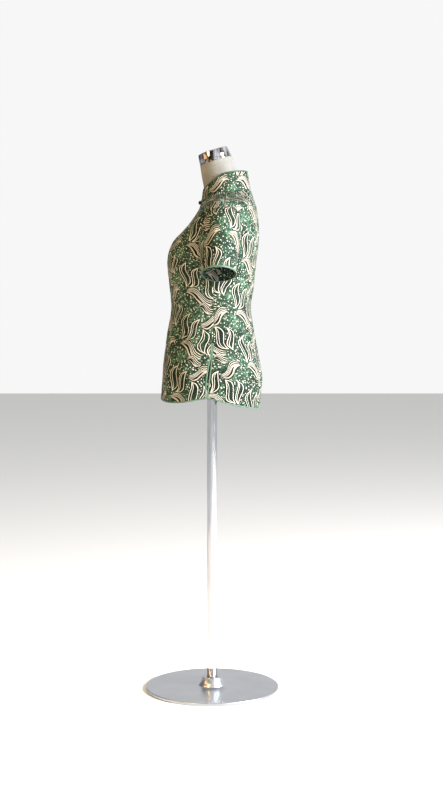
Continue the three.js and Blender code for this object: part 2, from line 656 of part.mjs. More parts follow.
function pole() {
  const top = FORM_BOTTOM_Z - SEAM_GAP;
  const foot = BOSS_TOP - POLE_SEAT;
  return lathe(
    [[0, foot], [POLE_RADIUS, foot], [POLE_RADIUS, top - FLANGE_WALL],
      [FLANGE_RADIUS, top - FLANGE_WALL], [FLANGE_RADIUS, top], [0, top]],
    28,
  );
}

function standBase() {
  const bore = POLE_RADIUS + SEAM_GAP;
  const seat = BOSS_TOP - POLE_SEAT - SEAM_GAP;
  return lathe(
    [[0, 0], [BASE_RADIUS - 2, 0], [BASE_RADIUS, 2], [BASE_RADIUS, BASE_WALL - 2],
      [BASE_RADIUS - 3, BASE_WALL],
      [BOSS_RADIUS + 4, BASE_WALL], [BOSS_RADIUS, BASE_WALL + 4], [BOSS_RADIUS - 3, BOSS_TOP - 2],
      [BOSS_RADIUS - 5, BOSS_TOP], [bore, BOSS_TOP], [bore, seat], [0, seat]],
    48,
  );
}

function meshOf(name, geometry, finish) {
  const mesh = new THREE.Mesh(geometry, new THREE.MeshStandardMaterial(finish));
  mesh.name = name;
  return mesh;
}

const asMade = (spot) => spot;
const garment = new THREE.Group();
garment.add(
  meshOf("front_panel", frontPanel(), COLOURS.print),
  meshOf("right_chest_panel", chestPanel(), COLOURS.print),
  meshOf("back_panel", backPanel(), COLOURS.print),
  meshOf("sleeve_left", sleeve(asMade), COLOURS.print),
  meshOf("sleeve_right", sleeve(mirrored), COLOURS.print),
  meshOf("collar", collar(), COLOURS.print),
  meshOf("front_hem_binding", hemBinding(frontEdges, FRONT_COLUMNS), COLOURS.binding),
  meshOf("back_hem_binding", hemBinding(backEdges, BACK_COLUMNS), COLOURS.binding),
  meshOf("cuff_binding_left", cuffBinding(asMade), COLOURS.binding),
  meshOf("cuff_binding_right", cuffBinding(mirrored), COLOURS.binding),
  meshOf("collar_binding", collarBinding(), COLOURS.binding),
  meshOf("opening_binding", diagonalPiping(), COLOURS.binding),
);
for (const frog of FROGS) {
  garment.add(meshOf(`frog_${frog.name}_knot_half`, frogKnotHalf(frog), COLOURS.frog));
  garment.add(meshOf(`frog_${frog.name}_loop_half`, frogLoopHalf(frog), COLOURS.frog));
}

const stand = new THREE.Group();
stand.add(
  meshOf("form_torso", dressForm(), COLOURS.linen),
  neckCap(),
  meshOf("stand_pole", pole(), COLOURS.chrome),
  meshOf("stand_base", standBase(), COLOURS.chrome),
);

const part = new THREE.Group();
part.add(garment, stand);
export default part;
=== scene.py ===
import math
from functools import partial

import bmesh
import bpy
import numpy as np
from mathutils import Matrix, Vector


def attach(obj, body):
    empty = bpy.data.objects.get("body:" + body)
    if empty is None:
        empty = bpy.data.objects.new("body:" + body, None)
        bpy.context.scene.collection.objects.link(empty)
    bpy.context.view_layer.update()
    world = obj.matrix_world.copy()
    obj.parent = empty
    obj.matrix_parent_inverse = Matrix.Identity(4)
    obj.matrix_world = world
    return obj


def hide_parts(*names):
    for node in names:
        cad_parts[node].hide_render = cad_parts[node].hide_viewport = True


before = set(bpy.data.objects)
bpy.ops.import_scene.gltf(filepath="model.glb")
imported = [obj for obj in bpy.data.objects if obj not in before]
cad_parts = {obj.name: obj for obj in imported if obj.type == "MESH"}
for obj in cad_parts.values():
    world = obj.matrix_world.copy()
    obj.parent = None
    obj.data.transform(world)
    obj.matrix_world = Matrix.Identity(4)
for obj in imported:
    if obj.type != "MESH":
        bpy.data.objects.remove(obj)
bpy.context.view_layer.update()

# Sizes are millimetres in the model's frame until an object is made: +Z up, +X to the wearer's left,
# the front towards -Y. Angles are degrees from the centre front towards the wearer's left.

# Sizes shared with the solids
BINDING_WIDTH = 4
PIPING_WIDTH = 4.4
SLIT_TOP = 163
DIAGONAL_FOOT = 372
DIAGONAL_POWER = 0.833
UNDERARM = 392
SHOULDER_POINT = 533
NECK_SEAM = 664
ARMHOLE_MIDDLE, ARMHOLE_HALF = (UNDERARM + SHOULDER_POINT) / 2, (SHOULDER_POINT - UNDERARM) / 2
FRONT_BITE, BACK_BITE = 18, 20  # how far the armhole reaches off the side, in degrees
SEAT_Y, SEAT_Z, SEAT_TILT = 10.7, 1459, 18  # the neck's top, under the cap

# up, then where the ring crosses centre front (y, z), side (x, y, z) and centre back (y, z), then how
# square its front and back halves are
RINGS = np.array([
    (0, -140, 810, 181, -16, 809, 130, 784, 2.8, 2.45),
    (70, -135.5, 876, 178, -9, 878, 138.5, 864, 2.8, 2.45),
    (130, -130, 933, 170, -1, 936, 128.5, 930, 2.65, 2.35),
    (185, -123, 987, 158, 4, 989, 117, 987, 2.45, 2.3),
    (258, -111.5, 1060, 142.5, 5, 1060, 107, 1062, 2.3, 2.25),
    (315, -115.5, 1115, 148.5, 4, 1115, 114.5, 1120, 2.3, 2.25),
    (392, -120, 1192, 162, 6, 1190, 122, 1193, 2.3, 2.3),
    (438, -107, 1236, 165, 15, 1236, 128, 1240, 2.35, 2.35),
    (480, -80.5, 1266, 172, 23, 1278, 127.5, 1284, 2.35, 2.35),
    (512, -62.5, 1286, 181, 28, 1309, 124, 1316, 2.3, 2.3),
    (533, -53, 1299, 184, 30, 1326, 121, 1334, 2.25, 2.25),
    (556, -44, 1312, 166, 32, 1338, 117.5, 1346, 2.2, 2.2),
    (598, -34, 1330, 126, 34, 1351, 112, 1362, 2.1, 2.1),
    (634, -29.5, 1343, 91, 35, 1361, 108, 1374, 2.05, 2.05),
    (664, -27.5, 1354, 64, 36, 1372, 105, 1384, 2.05, 2.05),
], float)

# angle, up, width, length, rise, lean: large folds and fullness
FOLDS = [
    (40, 388, 24, 62, 6, 0), (-40, 388, 24, 62, 6, 0),
    (57, 0, 7, 160, 5, -0.085), (-58, 0, 8, 145, 4.4, 0.08),
    (28, 10, 11, 130, -3, 0), (-24, 20, 12, 120, -2.6, 0),
    (61, 70, 6, 115, -3.4, -0.075), (-63, 60, 7, 105, -2.8, 0.07),
    (133, 10, 9, 120, 3.2, 0.03), (230, 0, 9, 130, 3.4, -0.03), (184, 30, 14, 95, -2.4, 0),
    (150, 262, 22, 17, -2, 0), (212, 274, 24, 16, -2, 0), (96, 292, 18, 15, -1.6, 0),
]

# Sizes of the dressed surface
CLOTH = 1.15
COLLAR_CLOTH = 2.0
UNDER_BINDING = 1.2  # how far the cloth runs in under a binding
BINDING_HALF_HEIGHT = 1.35
MM_PER_DEGREE = 2.7  # of the rings, for the creases' shapes

# Creases of the panels: from (angle, up) to (angle, up), bow, half width, depth. A negative depth is a
# ridge.
CREASES = [
    (59.5, 207, 67.5, 143, 2.5, 3.4, 3.4),
    (64, 208, 72, 150, 2.5, 3.6, -1.8),
    (83, 384, 50, 420, 6, 8, 1.5),
    (85, 368, 56, 380, -4, 7, 1.2),
    (86, 346, 64, 312, 6, 9, 1.2),
    (74, 268, 42, 252, 3, 8, 1.0),
    (85, 246, 60, 236, -3, 7, 0.9),
    (26, 262, 50, 12, -14, 12, 3.0),
    (77, 150, 83, 24, 4, 10, 1.1),
    (36, 205, 39, 60, 5, 12, 1.2),
    (42, 566, 66, 505, 4, 8, 1.1),
    (66, 480, 60, 436, 3, 8, 1.0),
    (-62, 208, -68.5, 150, -2, 3, 2.1),
    (-82, 380, -52, 414, -5, 8, 1.3),
    (-85, 356, -60, 330, -5, 9, 1.1),
    (-70, 258, -40, 256, -3, 8, 1.0),
    (-24, 250, -52, 14, 14, 12, 2.0),
    (-78, 142, -83, 30, -4, 10, 1.0),
    (-38, 190, -42, 70, -4, 12, 1.1),
    (-12, 300, 12, 290, 3, 9, 0.8),
    (-8, 186, -3, 50, 4, 15, 1.1),
    (-48, 560, -66, 500, -4, 8, 0.9),
    (97, 382, 126, 408, 5, 8, 1.2),
    (95, 350, 124, 330, -5, 9, 1.1),
    (99, 264, 130, 254, 3, 7, 1.1),
    (137, 270, 172, 262, 4, 8, 1.0),
    (188, 274, 224, 260, -3, 8, 1.1),
    (263, 380, 236, 402, -5, 8, 1.2),
    (265, 348, 240, 334, 5, 9, 1.0),
    (259, 256, 230, 264, -3, 7, 0.9),
    (104, 205, 100, 70, -4, 10, 1.0),
    (127, 214, 135, 34, 7, 13, 1.6),
    (158, 176, 165, 26, 4, 12, 1.2),
    (207, 182, 200, 36, -4, 12, 1.3),
    (233, 206, 227, 44, -7, 13, 1.5),
    (256, 190, 260, 66, 4, 10, 0.9),
    (111, 522, 129, 440, 5, 9, 1.1),
    (249, 516, 233, 440, -5, 9, 1.0),
    (166, 634, 196, 636, 3, 6, 0.6),
]

# Creases of the sleeves: from (turn, distance below the armhole) to the same, bow, half width, depth.
# The turn is 0 at the underarm, 90 in front, 180 at the shoulder.
SLEEVE_CREASES = [
    (16, 6, 52, 84, 6, 5, 1.5),
    (66, 10, 84, 118, -5, 7, 1.6),
    (104, 4, 120, 96, 4, 8, 1.2),
    (146, 24, 152, 126, -3, 10, 0.8),
    (206, 18, 200, 112, 4, 10, 0.9),
    (250, 8, 230, 104, -5, 8, 1.3),
    (292, 8, 276, 88, 4, 6, 1.4),
    (332, 6, 316, 62, -4, 5, 1.5),
]


def smoothstep(low, high, x):
    t = np.clip((np.asarray(x, float) - low) / (high - low), 0, 1)
    return t * t * (3 - 2 * t)


def unit(v):
    return v / np.linalg.norm(v, axis=-1, keepdims=True)


def cos_sin(degrees):
    return np.cos(np.radians(degrees)), np.sin(np.radians(degrees))


def along_table(table, up):
    """All columns of a table at the levels up: smooth curves through its rows, straight beyond them."""
    x, y = table[:, 0], table[:, 1:]
    rows = np.arange(len(x))
    before, after = np.maximum(rows - 1, 0), np.minimum(rows + 1, len(x) - 1)
    slope = (y[after] - y[before]) / (x[after] - x[before])[:, None]
    up = np.asarray(up, float)
    i = np.clip(np.searchsorted(x, up, side="right") - 1, 0, len(x) - 2)
    step = (x[i + 1] - x[i])[..., None]
    free = (up - x[i])[..., None] / step
    t = np.clip(free, 0, 1)
    value = y[i] * (1 + 2 * t) * (1 - t) ** 2 + y[i + 1] * t * t * (3 - 2 * t)
    value = value + step * (slope[i] * t * (1 - t) ** 2 - slope[i + 1] * t * t * (1 - t))
    return value + (free - t) * step * np.where(free > t, slope[i + 1], slope[i])


def turn_between(angle, start):
    return (angle - start + 180) % 360 - 180


def from_side(angle):
    """Degrees from the nearer side seam."""
    return np.abs(np.abs(turn_between(angle, 0)) - 90)


def relief(angle, up):
    total = np.zeros(np.broadcast(angle, up).shape)
    for fold_angle, fold_up, width, length, rise, lean in FOLDS:
        across = turn_between(angle, fold_angle + lean * (up - fold_up)) / width
        total = total + rise * np.exp(-across**2 - ((up - fold_up) / length) ** 2)
    return total


def egg(angle, front_y, side_x, side_y, back_y, front_square, back_square):
    """An egg-shaped ring in a direction: whether that is in front, the radius there, and how much of the
    ring's depth that reaches."""
    ahead, aside = cos_sin(angle)
    front = ahead >= 0
    depth = np.where(front, side_y - front_y, back_y - side_y)
    square = np.where(front, front_square, back_square)
    radius = ((np.abs(ahead) / depth) ** square + (np.abs(aside) / side_x) ** square) ** (-1 / square)
    return front, radius, np.abs(radius * ahead) / depth


def ring_point(angle, radius, side_y, z):
    ahead, aside = cos_sin(angle)
    return np.stack([radius * aside, side_y - radius * ahead, z], -1)


def garment_point(angle, up):
    angle, up = np.broadcast_arrays(np.asarray(angle, float), np.asarray(up, float))
    columns = np.moveaxis(along_table(RINGS, up), -1, 0)
    front_y, front_z, side_x, side_y, side_z, back_y, back_z, *squares = columns
    front, radius, share = egg(angle, front_y, side_x, side_y, back_y, *squares)
    z = side_z + (np.where(front, front_z, back_z) - side_z) * share**2
    return ring_point(angle, radius + relief(angle, up), side_y, z)


def garment_steps(angle, up):
    """How the surface runs over one degree and over one level."""
    around = garment_point(angle + 0.4, up) - garment_point(angle - 0.4, up)
    upward = garment_point(angle, up + 0.8) - garment_point(angle, up - 0.8)
    return around / 0.8, upward / 1.6


def garment_surface(angle, up):
    """Point and outward normal."""
    return garment_point(angle, up), unit(np.cross(*garment_steps(angle, up)))


def lifted(angle, level):
    """The hem rises a little towards each slit."""
    return level + 12 * np.exp(-((from_side(angle) / 15) ** 2)) * np.maximum(0, 1 - level / 150)


def slit_half_gap(up):
    return 0.15 + 2.1 * np.sin(np.pi * np.clip(up / 128, 0, 1)) ** 1.1 + 0.35 * (1 - smoothstep(0, 14, up))


def off_side(side, towards, up, distance):
    return side + towards * distance / np.linalg.norm(garment_steps(side, up)[0], axis=-1)


def armhole_share(up):
    """-1 at the underarm and 1 at the shoulder point."""
    return (up - ARMHOLE_MIDDLE) / ARMHOLE_HALF


def diagonal_angle(up):
    return -90 + 90 * np.clip((up - DIAGONAL_FOOT) / (NECK_SEAM - DIAGONAL_FOOT), 0, 1) ** DIAGONAL_POWER


def panel_edge(side, towards, bite, up):
    tucked = np.where(up > SLIT_TOP + 0.8, 0.02, slit_half_gap(up) + BINDING_WIDTH - UNDER_BINDING)
    seam = off_side(side, towards, up, tucked)
    in_armhole = (up > UNDERARM) & (up < SHOULDER_POINT)
    reach = bite * np.sqrt(np.maximum(0, 1 - armhole_share(up) ** 2))
    return np.where(in_armhole, side + towards * reach, seam)


def crease_relief(x, y, creases, per_x):
    """Soft troughs with low shoulders along bowed lines, fading at both ends."""
    total = np.zeros(np.broadcast(x, y).shape)
    for k, (x0, y0, x1, y1, bow, width, depth) in enumerate(creases):
        ax, ay, bx, by = x0 * per_x, y0, x1 * per_x, y1
        length = math.hypot(bx - ax, by - ay)
        ex, ey = (bx - ax) / length, (by - ay) / length
        dx = turn_between(x, x0) * per_x
        dy = y - ay
        t = (dx * ex + dy * ey) / length
        inside = (t > 0) & (t < 1)
        tt = np.clip(t, 0, 1)
        off = -dx * ey + dy * ex - bow * 4 * tt * (1 - tt) - 0.22 * width * np.sin(9 * tt + 1.7 * k)
        wide = width * (0.75 + 0.5 * np.abs(tt - 0.35 - 0.3 * ((k * 37) % 10) / 10))
        fade = np.sin(np.pi * tt) ** 0.8 * (0.8 + 0.35 * np.sin(5.3 * tt + 2.1 * k))
        trough = np.exp(-((off / wide) ** 2))
        shoulders = np.exp(-(((np.abs(off) - 1.9 * wide) / (0.9 * wide)) ** 2))
        total = total + np.where(inside, depth * fade * (0.34 * shoulders - trough), 0)
    return total


def undulation(x, y, size, seed):
    """A low uneven waviness, in mm."""
    dice = np.random.default_rng(seed)
    total = 0
    for _ in range(12):
        heading, wave, phase = dice.uniform(0, math.pi), dice.uniform(24, 80), dice.uniform(0, 2 * math.pi)
        total = total + np.sin((x * math.cos(heading) + y * math.sin(heading)) * 2 * math.pi / wave + phase)
    return total * size / 12**0.5


def seam_line(distance, along, depth=0.8):
    """A sewn line's valley, with small uneven puckers beside it."""
    pucker = np.sin(along * math.tau / 8.7 + 2.5 * np.sin(along / 19)) * (0.6 + 0.4 * np.sin(along / 31))
    return -depth * np.exp(-((distance / 2) ** 2)) + 0.2 * pucker * np.exp(-(((distance - 4) / 4) ** 2))


def panel_relief(angle, up):
    beside, share = from_side(angle), armhole_share(up)
    sewn = (smoothstep(SLIT_TOP - 2, SLIT_TOP + 6, up) * (1 - smoothstep(UNDERARM - 2, UNDERARM + 8, up))
            + smoothstep(SHOULDER_POINT - 4, SHOULDER_POINT + 2, up))
    bite = np.where(np.abs(turn_between(angle, 0)) < 90, FRONT_BITE, BACK_BITE)
    off_armhole = np.abs(np.hypot(beside / bite, share) - 1) * 52
    round_armhole = np.degrees(np.arctan2(share, beside / bite)) * 1.1
    total = crease_relief(angle, up, CREASES, MM_PER_DEGREE)
    total = total + undulation(angle * MM_PER_DEGREE, up, 0.3, 5)
    total = total + sewn * seam_line(beside * MM_PER_DEGREE, up) + seam_line(off_armhole, round_armhole)
    total = total + seam_line(NECK_SEAM - up, angle * 1.1, 0.6)
    return total * smoothstep(-2, 6, up)


# Meshes
def in_scene(name, data):
    thing = bpy.data.objects.new(name, data)
    bpy.context.scene.collection.objects.link(thing)
    return thing


class Build:
    """Collects faces with their cloth coordinates, then makes one smooth object."""

    def __init__(self):
        self.points, self.faces, self.uvs, self.count = [], [], [], 0

    def grid(self, points, flat, loop_rows=False, loop_columns=False):
        """A surface over a grid of points in mm. flat has its cloth coordinates, with one more row or
        column where the grid closes."""
        rows, columns = points.shape[:2]
        i, j = np.meshgrid(np.arange(rows if loop_rows else rows - 1),
                           np.arange(columns if loop_columns else columns - 1), indexing="ij")
        i, j = i.ravel(), j.ravel()
        corners = [(i, j), (i, j + 1), (i + 1, j + 1), (i + 1, j)]
        faces = np.stack([(a % rows) * columns + b % columns for a, b in corners], 1) + self.count
        self.faces += faces.tolist()
        self.uvs += np.stack([flat[a, b] for a, b in corners], 1).reshape(-1, 2).tolist()
        self.points.append(points.reshape(-1, 3))
        self.count += rows * columns

    def shell(self, outer, inner, flat, loop=False):
        """A closed wall between two grids of points."""
        rows, columns = outer.shape[:2]
        start = self.count
        self.grid(np.concatenate([outer, inner[::-1]]), np.concatenate([flat, flat[::-1], flat[:1]]),
                  loop_rows=True, loop_columns=loop)
        if loop:
            return
        for j, order in ((0, 1), (columns - 1, -1)):
            for i in range(rows - 1):
                wall = [start + row * columns + j for row in (i, i + 1, 2 * rows - 2 - i, 2 * rows - 1 - i)]
                self.faces.append(wall[::order])
                self.uvs += [tuple(flat[row, j]) for row in (i, i + 1, i + 1, i)][::order]

    def tube(self, rings, along, per_column, closed=False):
        """A tube through rings of points, with flat ends unless it closes. along and per_column are its
        cloth coordinates."""
        start, columns = self.count, rings.shape[1]
        flat = np.stack(np.meshgrid(along, np.arange(columns + 1) * per_column, indexing="ij"), -1)
        self.grid(rings, flat, loop_rows=closed, loop_columns=True)
        if not closed:
            first, last = ([*range(k, k + columns)] for k in (start, self.count - columns))
            self.faces += [first[::-1], last]
            self.uvs += [(0.0, 0.0)] * (2 * columns)

    def band(self, centres, sides, heights, closed=False, around=16, square=2.0):
        """A swept band. sides and heights are its section's half axes at each centre."""
        phase = math.tau * np.arange(around) / around
        c, s = (np.sign(k) * np.abs(k) ** (2 / square) for k in (np.cos(phase), np.sin(phase)))
        rings = centres[:, None] + sides[:, None] * c[:, None] + heights[:, None] * s[:, None]
        following = np.concatenate([centres, centres[:1]]) if closed else centres
        run = np.append(0, np.cumsum(np.linalg.norm(np.diff(following, axis=0), axis=1)))
        self.tube(rings, run, 10 / around, closed)

    def cord(self, path, radius, closed=False):
        """A round cord along a path."""
        if closed:
            tangents = unit(np.roll(path, -1, 0) - np.roll(path, 1, 0))
        else:
            tangents = unit(np.gradient(path, axis=0))
        side = np.cross(tangents[0], (0.3, 0.2, 1))
        sides = []
        for tangent in tangents:
            side = unit(side - tangent * np.dot(side, tangent))
            sides.append(side)
        sides = np.array(sides)
        if closed:  # spread the frame's leftover twist along the path
            end = unit(sides[-1] - tangents[0] * np.dot(sides[-1], tangents[0]))
            twist = math.atan2(np.dot(np.cross(sides[0], end), tangents[0]), np.dot(sides[0], end))
            part = -twist * np.arange(len(path))[:, None] / len(path)
            sides = sides * np.cos(part) + np.cross(tangents, sides) * np.sin(part)
        self.band(path, sides * radius, np.cross(tangents, sides) * radius, closed, 12)

    def make(self, name, material, node):
        """The finished object, in metres, riding on the part and standing for the CAD node."""
        mesh = bpy.data.meshes.new(name)
        mesh.from_pydata((np.concatenate(self.points) * 0.001).tolist(), [], self.faces)
        layer = mesh.uv_layers.new(name="cloth")
        layer.data.foreach_set("uv", (np.array(self.uvs) * 0.001).ravel())
        mesh.polygons.foreach_set("use_smooth", [True] * len(mesh.polygons))
        mesh.update()
        if volume_of(mesh) < 0:
            mesh.flip_normals()
        mesh.materials.append(material)
        piece = in_scene(name, mesh)
        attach(piece, "root")
        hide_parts(node)
        return piece


def volume_of(mesh):
    solid = bmesh.new()
    solid.from_mesh(mesh)
    volume = solid.calc_volume(signed=True)
    solid.free()
    return volume


def flatten(points, towards, weight=None, passes=900):
    """Lays a grid of surface points flat with its lengths kept as nearly as cloth allows. The result is
    turned so that it best matches towards, a grid of plane coordinates."""
    rows, columns = points.shape[:2]
    number = np.arange(rows * columns).reshape(rows, columns)
    pairs = np.concatenate([np.stack([a.ravel(), b.ravel()], 1) for a, b in (
        (number[:, :-1], number[:, 1:]), (number[:-1], number[1:]),
        (number[:-1, :-1], number[1:, 1:]), (number[:-1, 1:], number[1:, :-1]))])
    solid = points.reshape(-1, 3)
    lengths = np.linalg.norm(solid[pairs[:, 0]] - solid[pairs[:, 1]], axis=1)
    across = np.pad(np.cumsum(np.linalg.norm(np.diff(points, axis=1), axis=2), 1), ((0, 0), (1, 0)))
    across -= across[:, columns // 2][:, None]
    upward = np.pad(np.cumsum(np.linalg.norm(np.diff(points, axis=0), axis=2), 0), ((1, 0), (0, 0)))
    flat = np.stack([across, upward], -1).reshape(-1, 2)
    total = rows * columns
    share = np.bincount(pairs.ravel(), minlength=total)[:, None]
    for _ in range(passes):
        gap = flat[pairs[:, 1]] - flat[pairs[:, 0]]
        span = np.maximum(np.linalg.norm(gap, axis=1), 1e-9)
        move = gap * (0.5 * (1 - lengths / span))[:, None]
        push = [np.bincount(pairs[:, 0], side, total) - np.bincount(pairs[:, 1], side, total)
                for side in move.T]
        flat = flat + 1.5 * np.stack(push, 1) / share
    weight = np.ones(total) if weight is None else weight.ravel()
    goal = towards.reshape(-1, 2)
    p = flat - np.average(flat, axis=0, weights=weight)
    q = goal - np.average(goal, axis=0, weights=weight)
    turned = (weight * (p[:, 0] * q[:, 1] - p[:, 1] * q[:, 0])).sum()
    spin = math.atan2(turned, (weight * (p * q).sum(1)).sum())
    turn = np.array([[math.cos(spin), math.sin(spin)], [-math.sin(spin), math.cos(spin)]])
    return (p @ turn).reshape(rows, columns, 2)


def coarse(count, most):
    return np.unique(np.linspace(0, count - 1, most).round().astype(int))


def between(flat, rows, columns, shape):
    """A coarse flat grid, read at every row and column of the full grid."""
    sides = []
    for side in np.moveaxis(flat, -1, 0):
        wide = np.array([np.interp(np.arange(shape[1]), columns, row) for row in side])
        sides.append(np.array([np.interp(np.arange(shape[0]), rows, column) for column in wide.T]).T)
    return np.stack(sides, -1)


def flat_facts(flat):
    """Width and length of a flat grid in metres, and its area."""
    size = flat.reshape(-1, 2).max(0) - flat.reshape(-1, 2).min(0)
    d1, d2 = flat[1:, 1:] - flat[:-1, :-1], flat[1:, :-1] - flat[:-1, 1:]
    area = np.abs(d1[..., 0] * d2[..., 1] - d1[..., 1] * d2[..., 0]).sum() / 2
    return (round(float(size[0]) * 0.001, 3), round(float(size[1]) * 0.001, 3)), round(float(area) * 1e-6, 4)


# Materials
def linear(display):
    """A display colour as the shader's linear colour."""
    return [c / 12.92 if c <= 0.04045 else ((c + 0.055) / 1.055) ** 2.4 for c in display] + [1]


class Field:
    """A number that varies over a surface: a shader socket whose maths reads as maths."""

    def __init__(self, tree, socket):
        self.tree, self.socket = tree, socket

    def op(self, operation, *others):
        node = self.tree.nodes.new("ShaderNodeMath")
        node.operation = operation
        for place, value in zip(node.inputs, (self, *others)):
            if isinstance(value, Field):
                self.tree.links.new(value.socket, place)
            else:
                place.default_value = value
        return Field(self.tree, node.outputs[0])

    def __add__(self, other):
        return self.op("ADD", other)

    def __sub__(self, other):
        return self.op("SUBTRACT", other)

    def __rsub__(self, other):
        return self * -1 + other

    def __mul__(self, other):
        return self.op("MULTIPLY", other)

    __radd__, __rmul__ = __add__, __mul__

    def most(self, other):
        return self.op("MAXIMUM", other)

    def ripple(self, length):
        """A sine wave of that length."""
        return (self * (math.tau / length)).op("SINE")

    def line(self, gone, full):
        """A line where the field is 0: 1 up to full beside it, and 0 from gone."""
        return self.op("ABSOLUTE").step(gone, full)

    def step(self, low, high):
        """0 at low and 1 at high, with soft ends. low may be the larger."""
        node = self.tree.nodes.new("ShaderNodeMapRange")
        node.interpolation_type = "SMOOTHSTEP"
        self.tree.links.new(self.socket, node.inputs["Value"])
        node.inputs["From Min"].default_value = low
        node.inputs["From Max"].default_value = high
        return Field(self.tree, node.outputs["Result"])


class Shader:
    """A principled material with the helpers that its textures need."""

    def __init__(self, name, **sockets):
        self.material = bpy.data.materials.new(name)
        self.material.use_nodes = True
        self.tree = self.material.node_tree
        self.surface = self.tree.nodes["Principled BSDF"]
        for socket, value in sockets.items():
            self.set(socket.replace("_", " "), value)

    def feed(self, place, value):
        if isinstance(value, Field):
            self.tree.links.new(value.socket, place)
        elif isinstance(value, bpy.types.NodeSocket):
            self.tree.links.new(value, place)
        else:
            place.default_value = value

    def set(self, socket, value):
        self.feed(self.surface.inputs[socket], value)

    def node(self, kind, **inputs):
        node = self.tree.nodes.new(kind)
        for name, value in inputs.items():
            self.feed(node.inputs[name], value)
        return node

    def cloth(self):
        """The cloth's flat coordinates in mm: across and up its grain."""
        uv = self.tree.nodes.new("ShaderNodeUVMap")
        uv.uv_map = "cloth"
        split = self.node("ShaderNodeSeparateXYZ", Vector=uv.outputs["UV"])
        return [Field(self.tree, split.outputs[axis]) * 1000 for axis in "XY"]

    def solid(self):
        """The place in the object's own space, in mm."""
        place = self.tree.nodes.new("ShaderNodeTexCoord")
        split = self.node("ShaderNodeSeparateXYZ", Vector=place.outputs["Object"])
        return [Field(self.tree, split.outputs[axis]) * 1000 for axis in "XYZ"]

    def noise(self, size, x, y, z=0.0, detail=2.0, rough=0.5):
        """Soft noise whose spots are about size mm across, from 0 to 1."""
        place = self.node("ShaderNodeCombineXYZ", X=x, Y=y, Z=z)
        node = self.node("ShaderNodeTexNoise", Vector=place.outputs[0], Scale=1 / size, Detail=detail,
                         Roughness=rough)
        return Field(self.tree, node.outputs["Fac"])

    def mix(self, share, low, high):
        """A colour between two, by share. Each is a display colour or another colour's socket."""
        node = self.tree.nodes.new("ShaderNodeMix")
        node.data_type = "RGBA"
        for place, value in ((0, share), (6, low), (7, high)):
            self.feed(node.inputs[place], linear(value) if isinstance(value, tuple) else value)
        return node.outputs[2]

    def bump(self, height, depth_mm, strength=1.0, after=None):
        """Relief from a height of 0 to 1 that stands for depth_mm."""
        node = self.node("ShaderNodeBump", Height=height, Distance=depth_mm * 0.001, Strength=strength)
        if after is not None:
            self.tree.links.new(after.outputs["Normal"], node.inputs["Normal"])
        self.tree.links.new(node.outputs["Normal"], self.surface.inputs["Normal"])
        return node


# The print: curved leaf pairs and open waves on a half-drop repeat, in the photo's colours and scale and
# in a layout of its own.
REPEAT_X, REPEAT_Y = 128.0, 146.0
# centre x and y, turn, length, sway, bow, half breadth
LEAVES = [
    (31, 84, 60, 62, 7.5, -3.0, 9.6),
    (9, 92, 80, 70, 8.5, 5.0, 11.6),
    (95, 50, 96, 60, -7.0, -3.5, 9.4),
    (73, 55, 114, 68, -8.5, 4.0, 11.4),
]
# centre x and y, turn, length, sway, half breadth
WAVES = [
    (38, 24, -20, 80, -9.5, 8.6),
    (80, 108, 18, 62, 8.0, 7.6),
    (56, 140, -14, 40, -4.5, 4.6),
]
WANDER = 9  # how far the motifs wander from their places
DEEP_GREEN, WORN_GREEN, MOTTLE = (0.150, 0.240, 0.190), (0.290, 0.410, 0.335), (0.055, 0.098, 0.074)
LEAF_GREEN, BLACK = (0.060, 0.090, 0.078), (0.022, 0.030, 0.026)
IVORY, SHADED_IVORY, DULL_IVORY = (0.690, 0.675, 0.630), (0.470, 0.435, 0.375), (0.44, 0.44, 0.38)
WEAVE, STITCH, BRAID, LINEN_WEFT, LINEN_WARP = 0.9, 2.6, 2.4, 1.1, 1.3  # lengths of one repeat


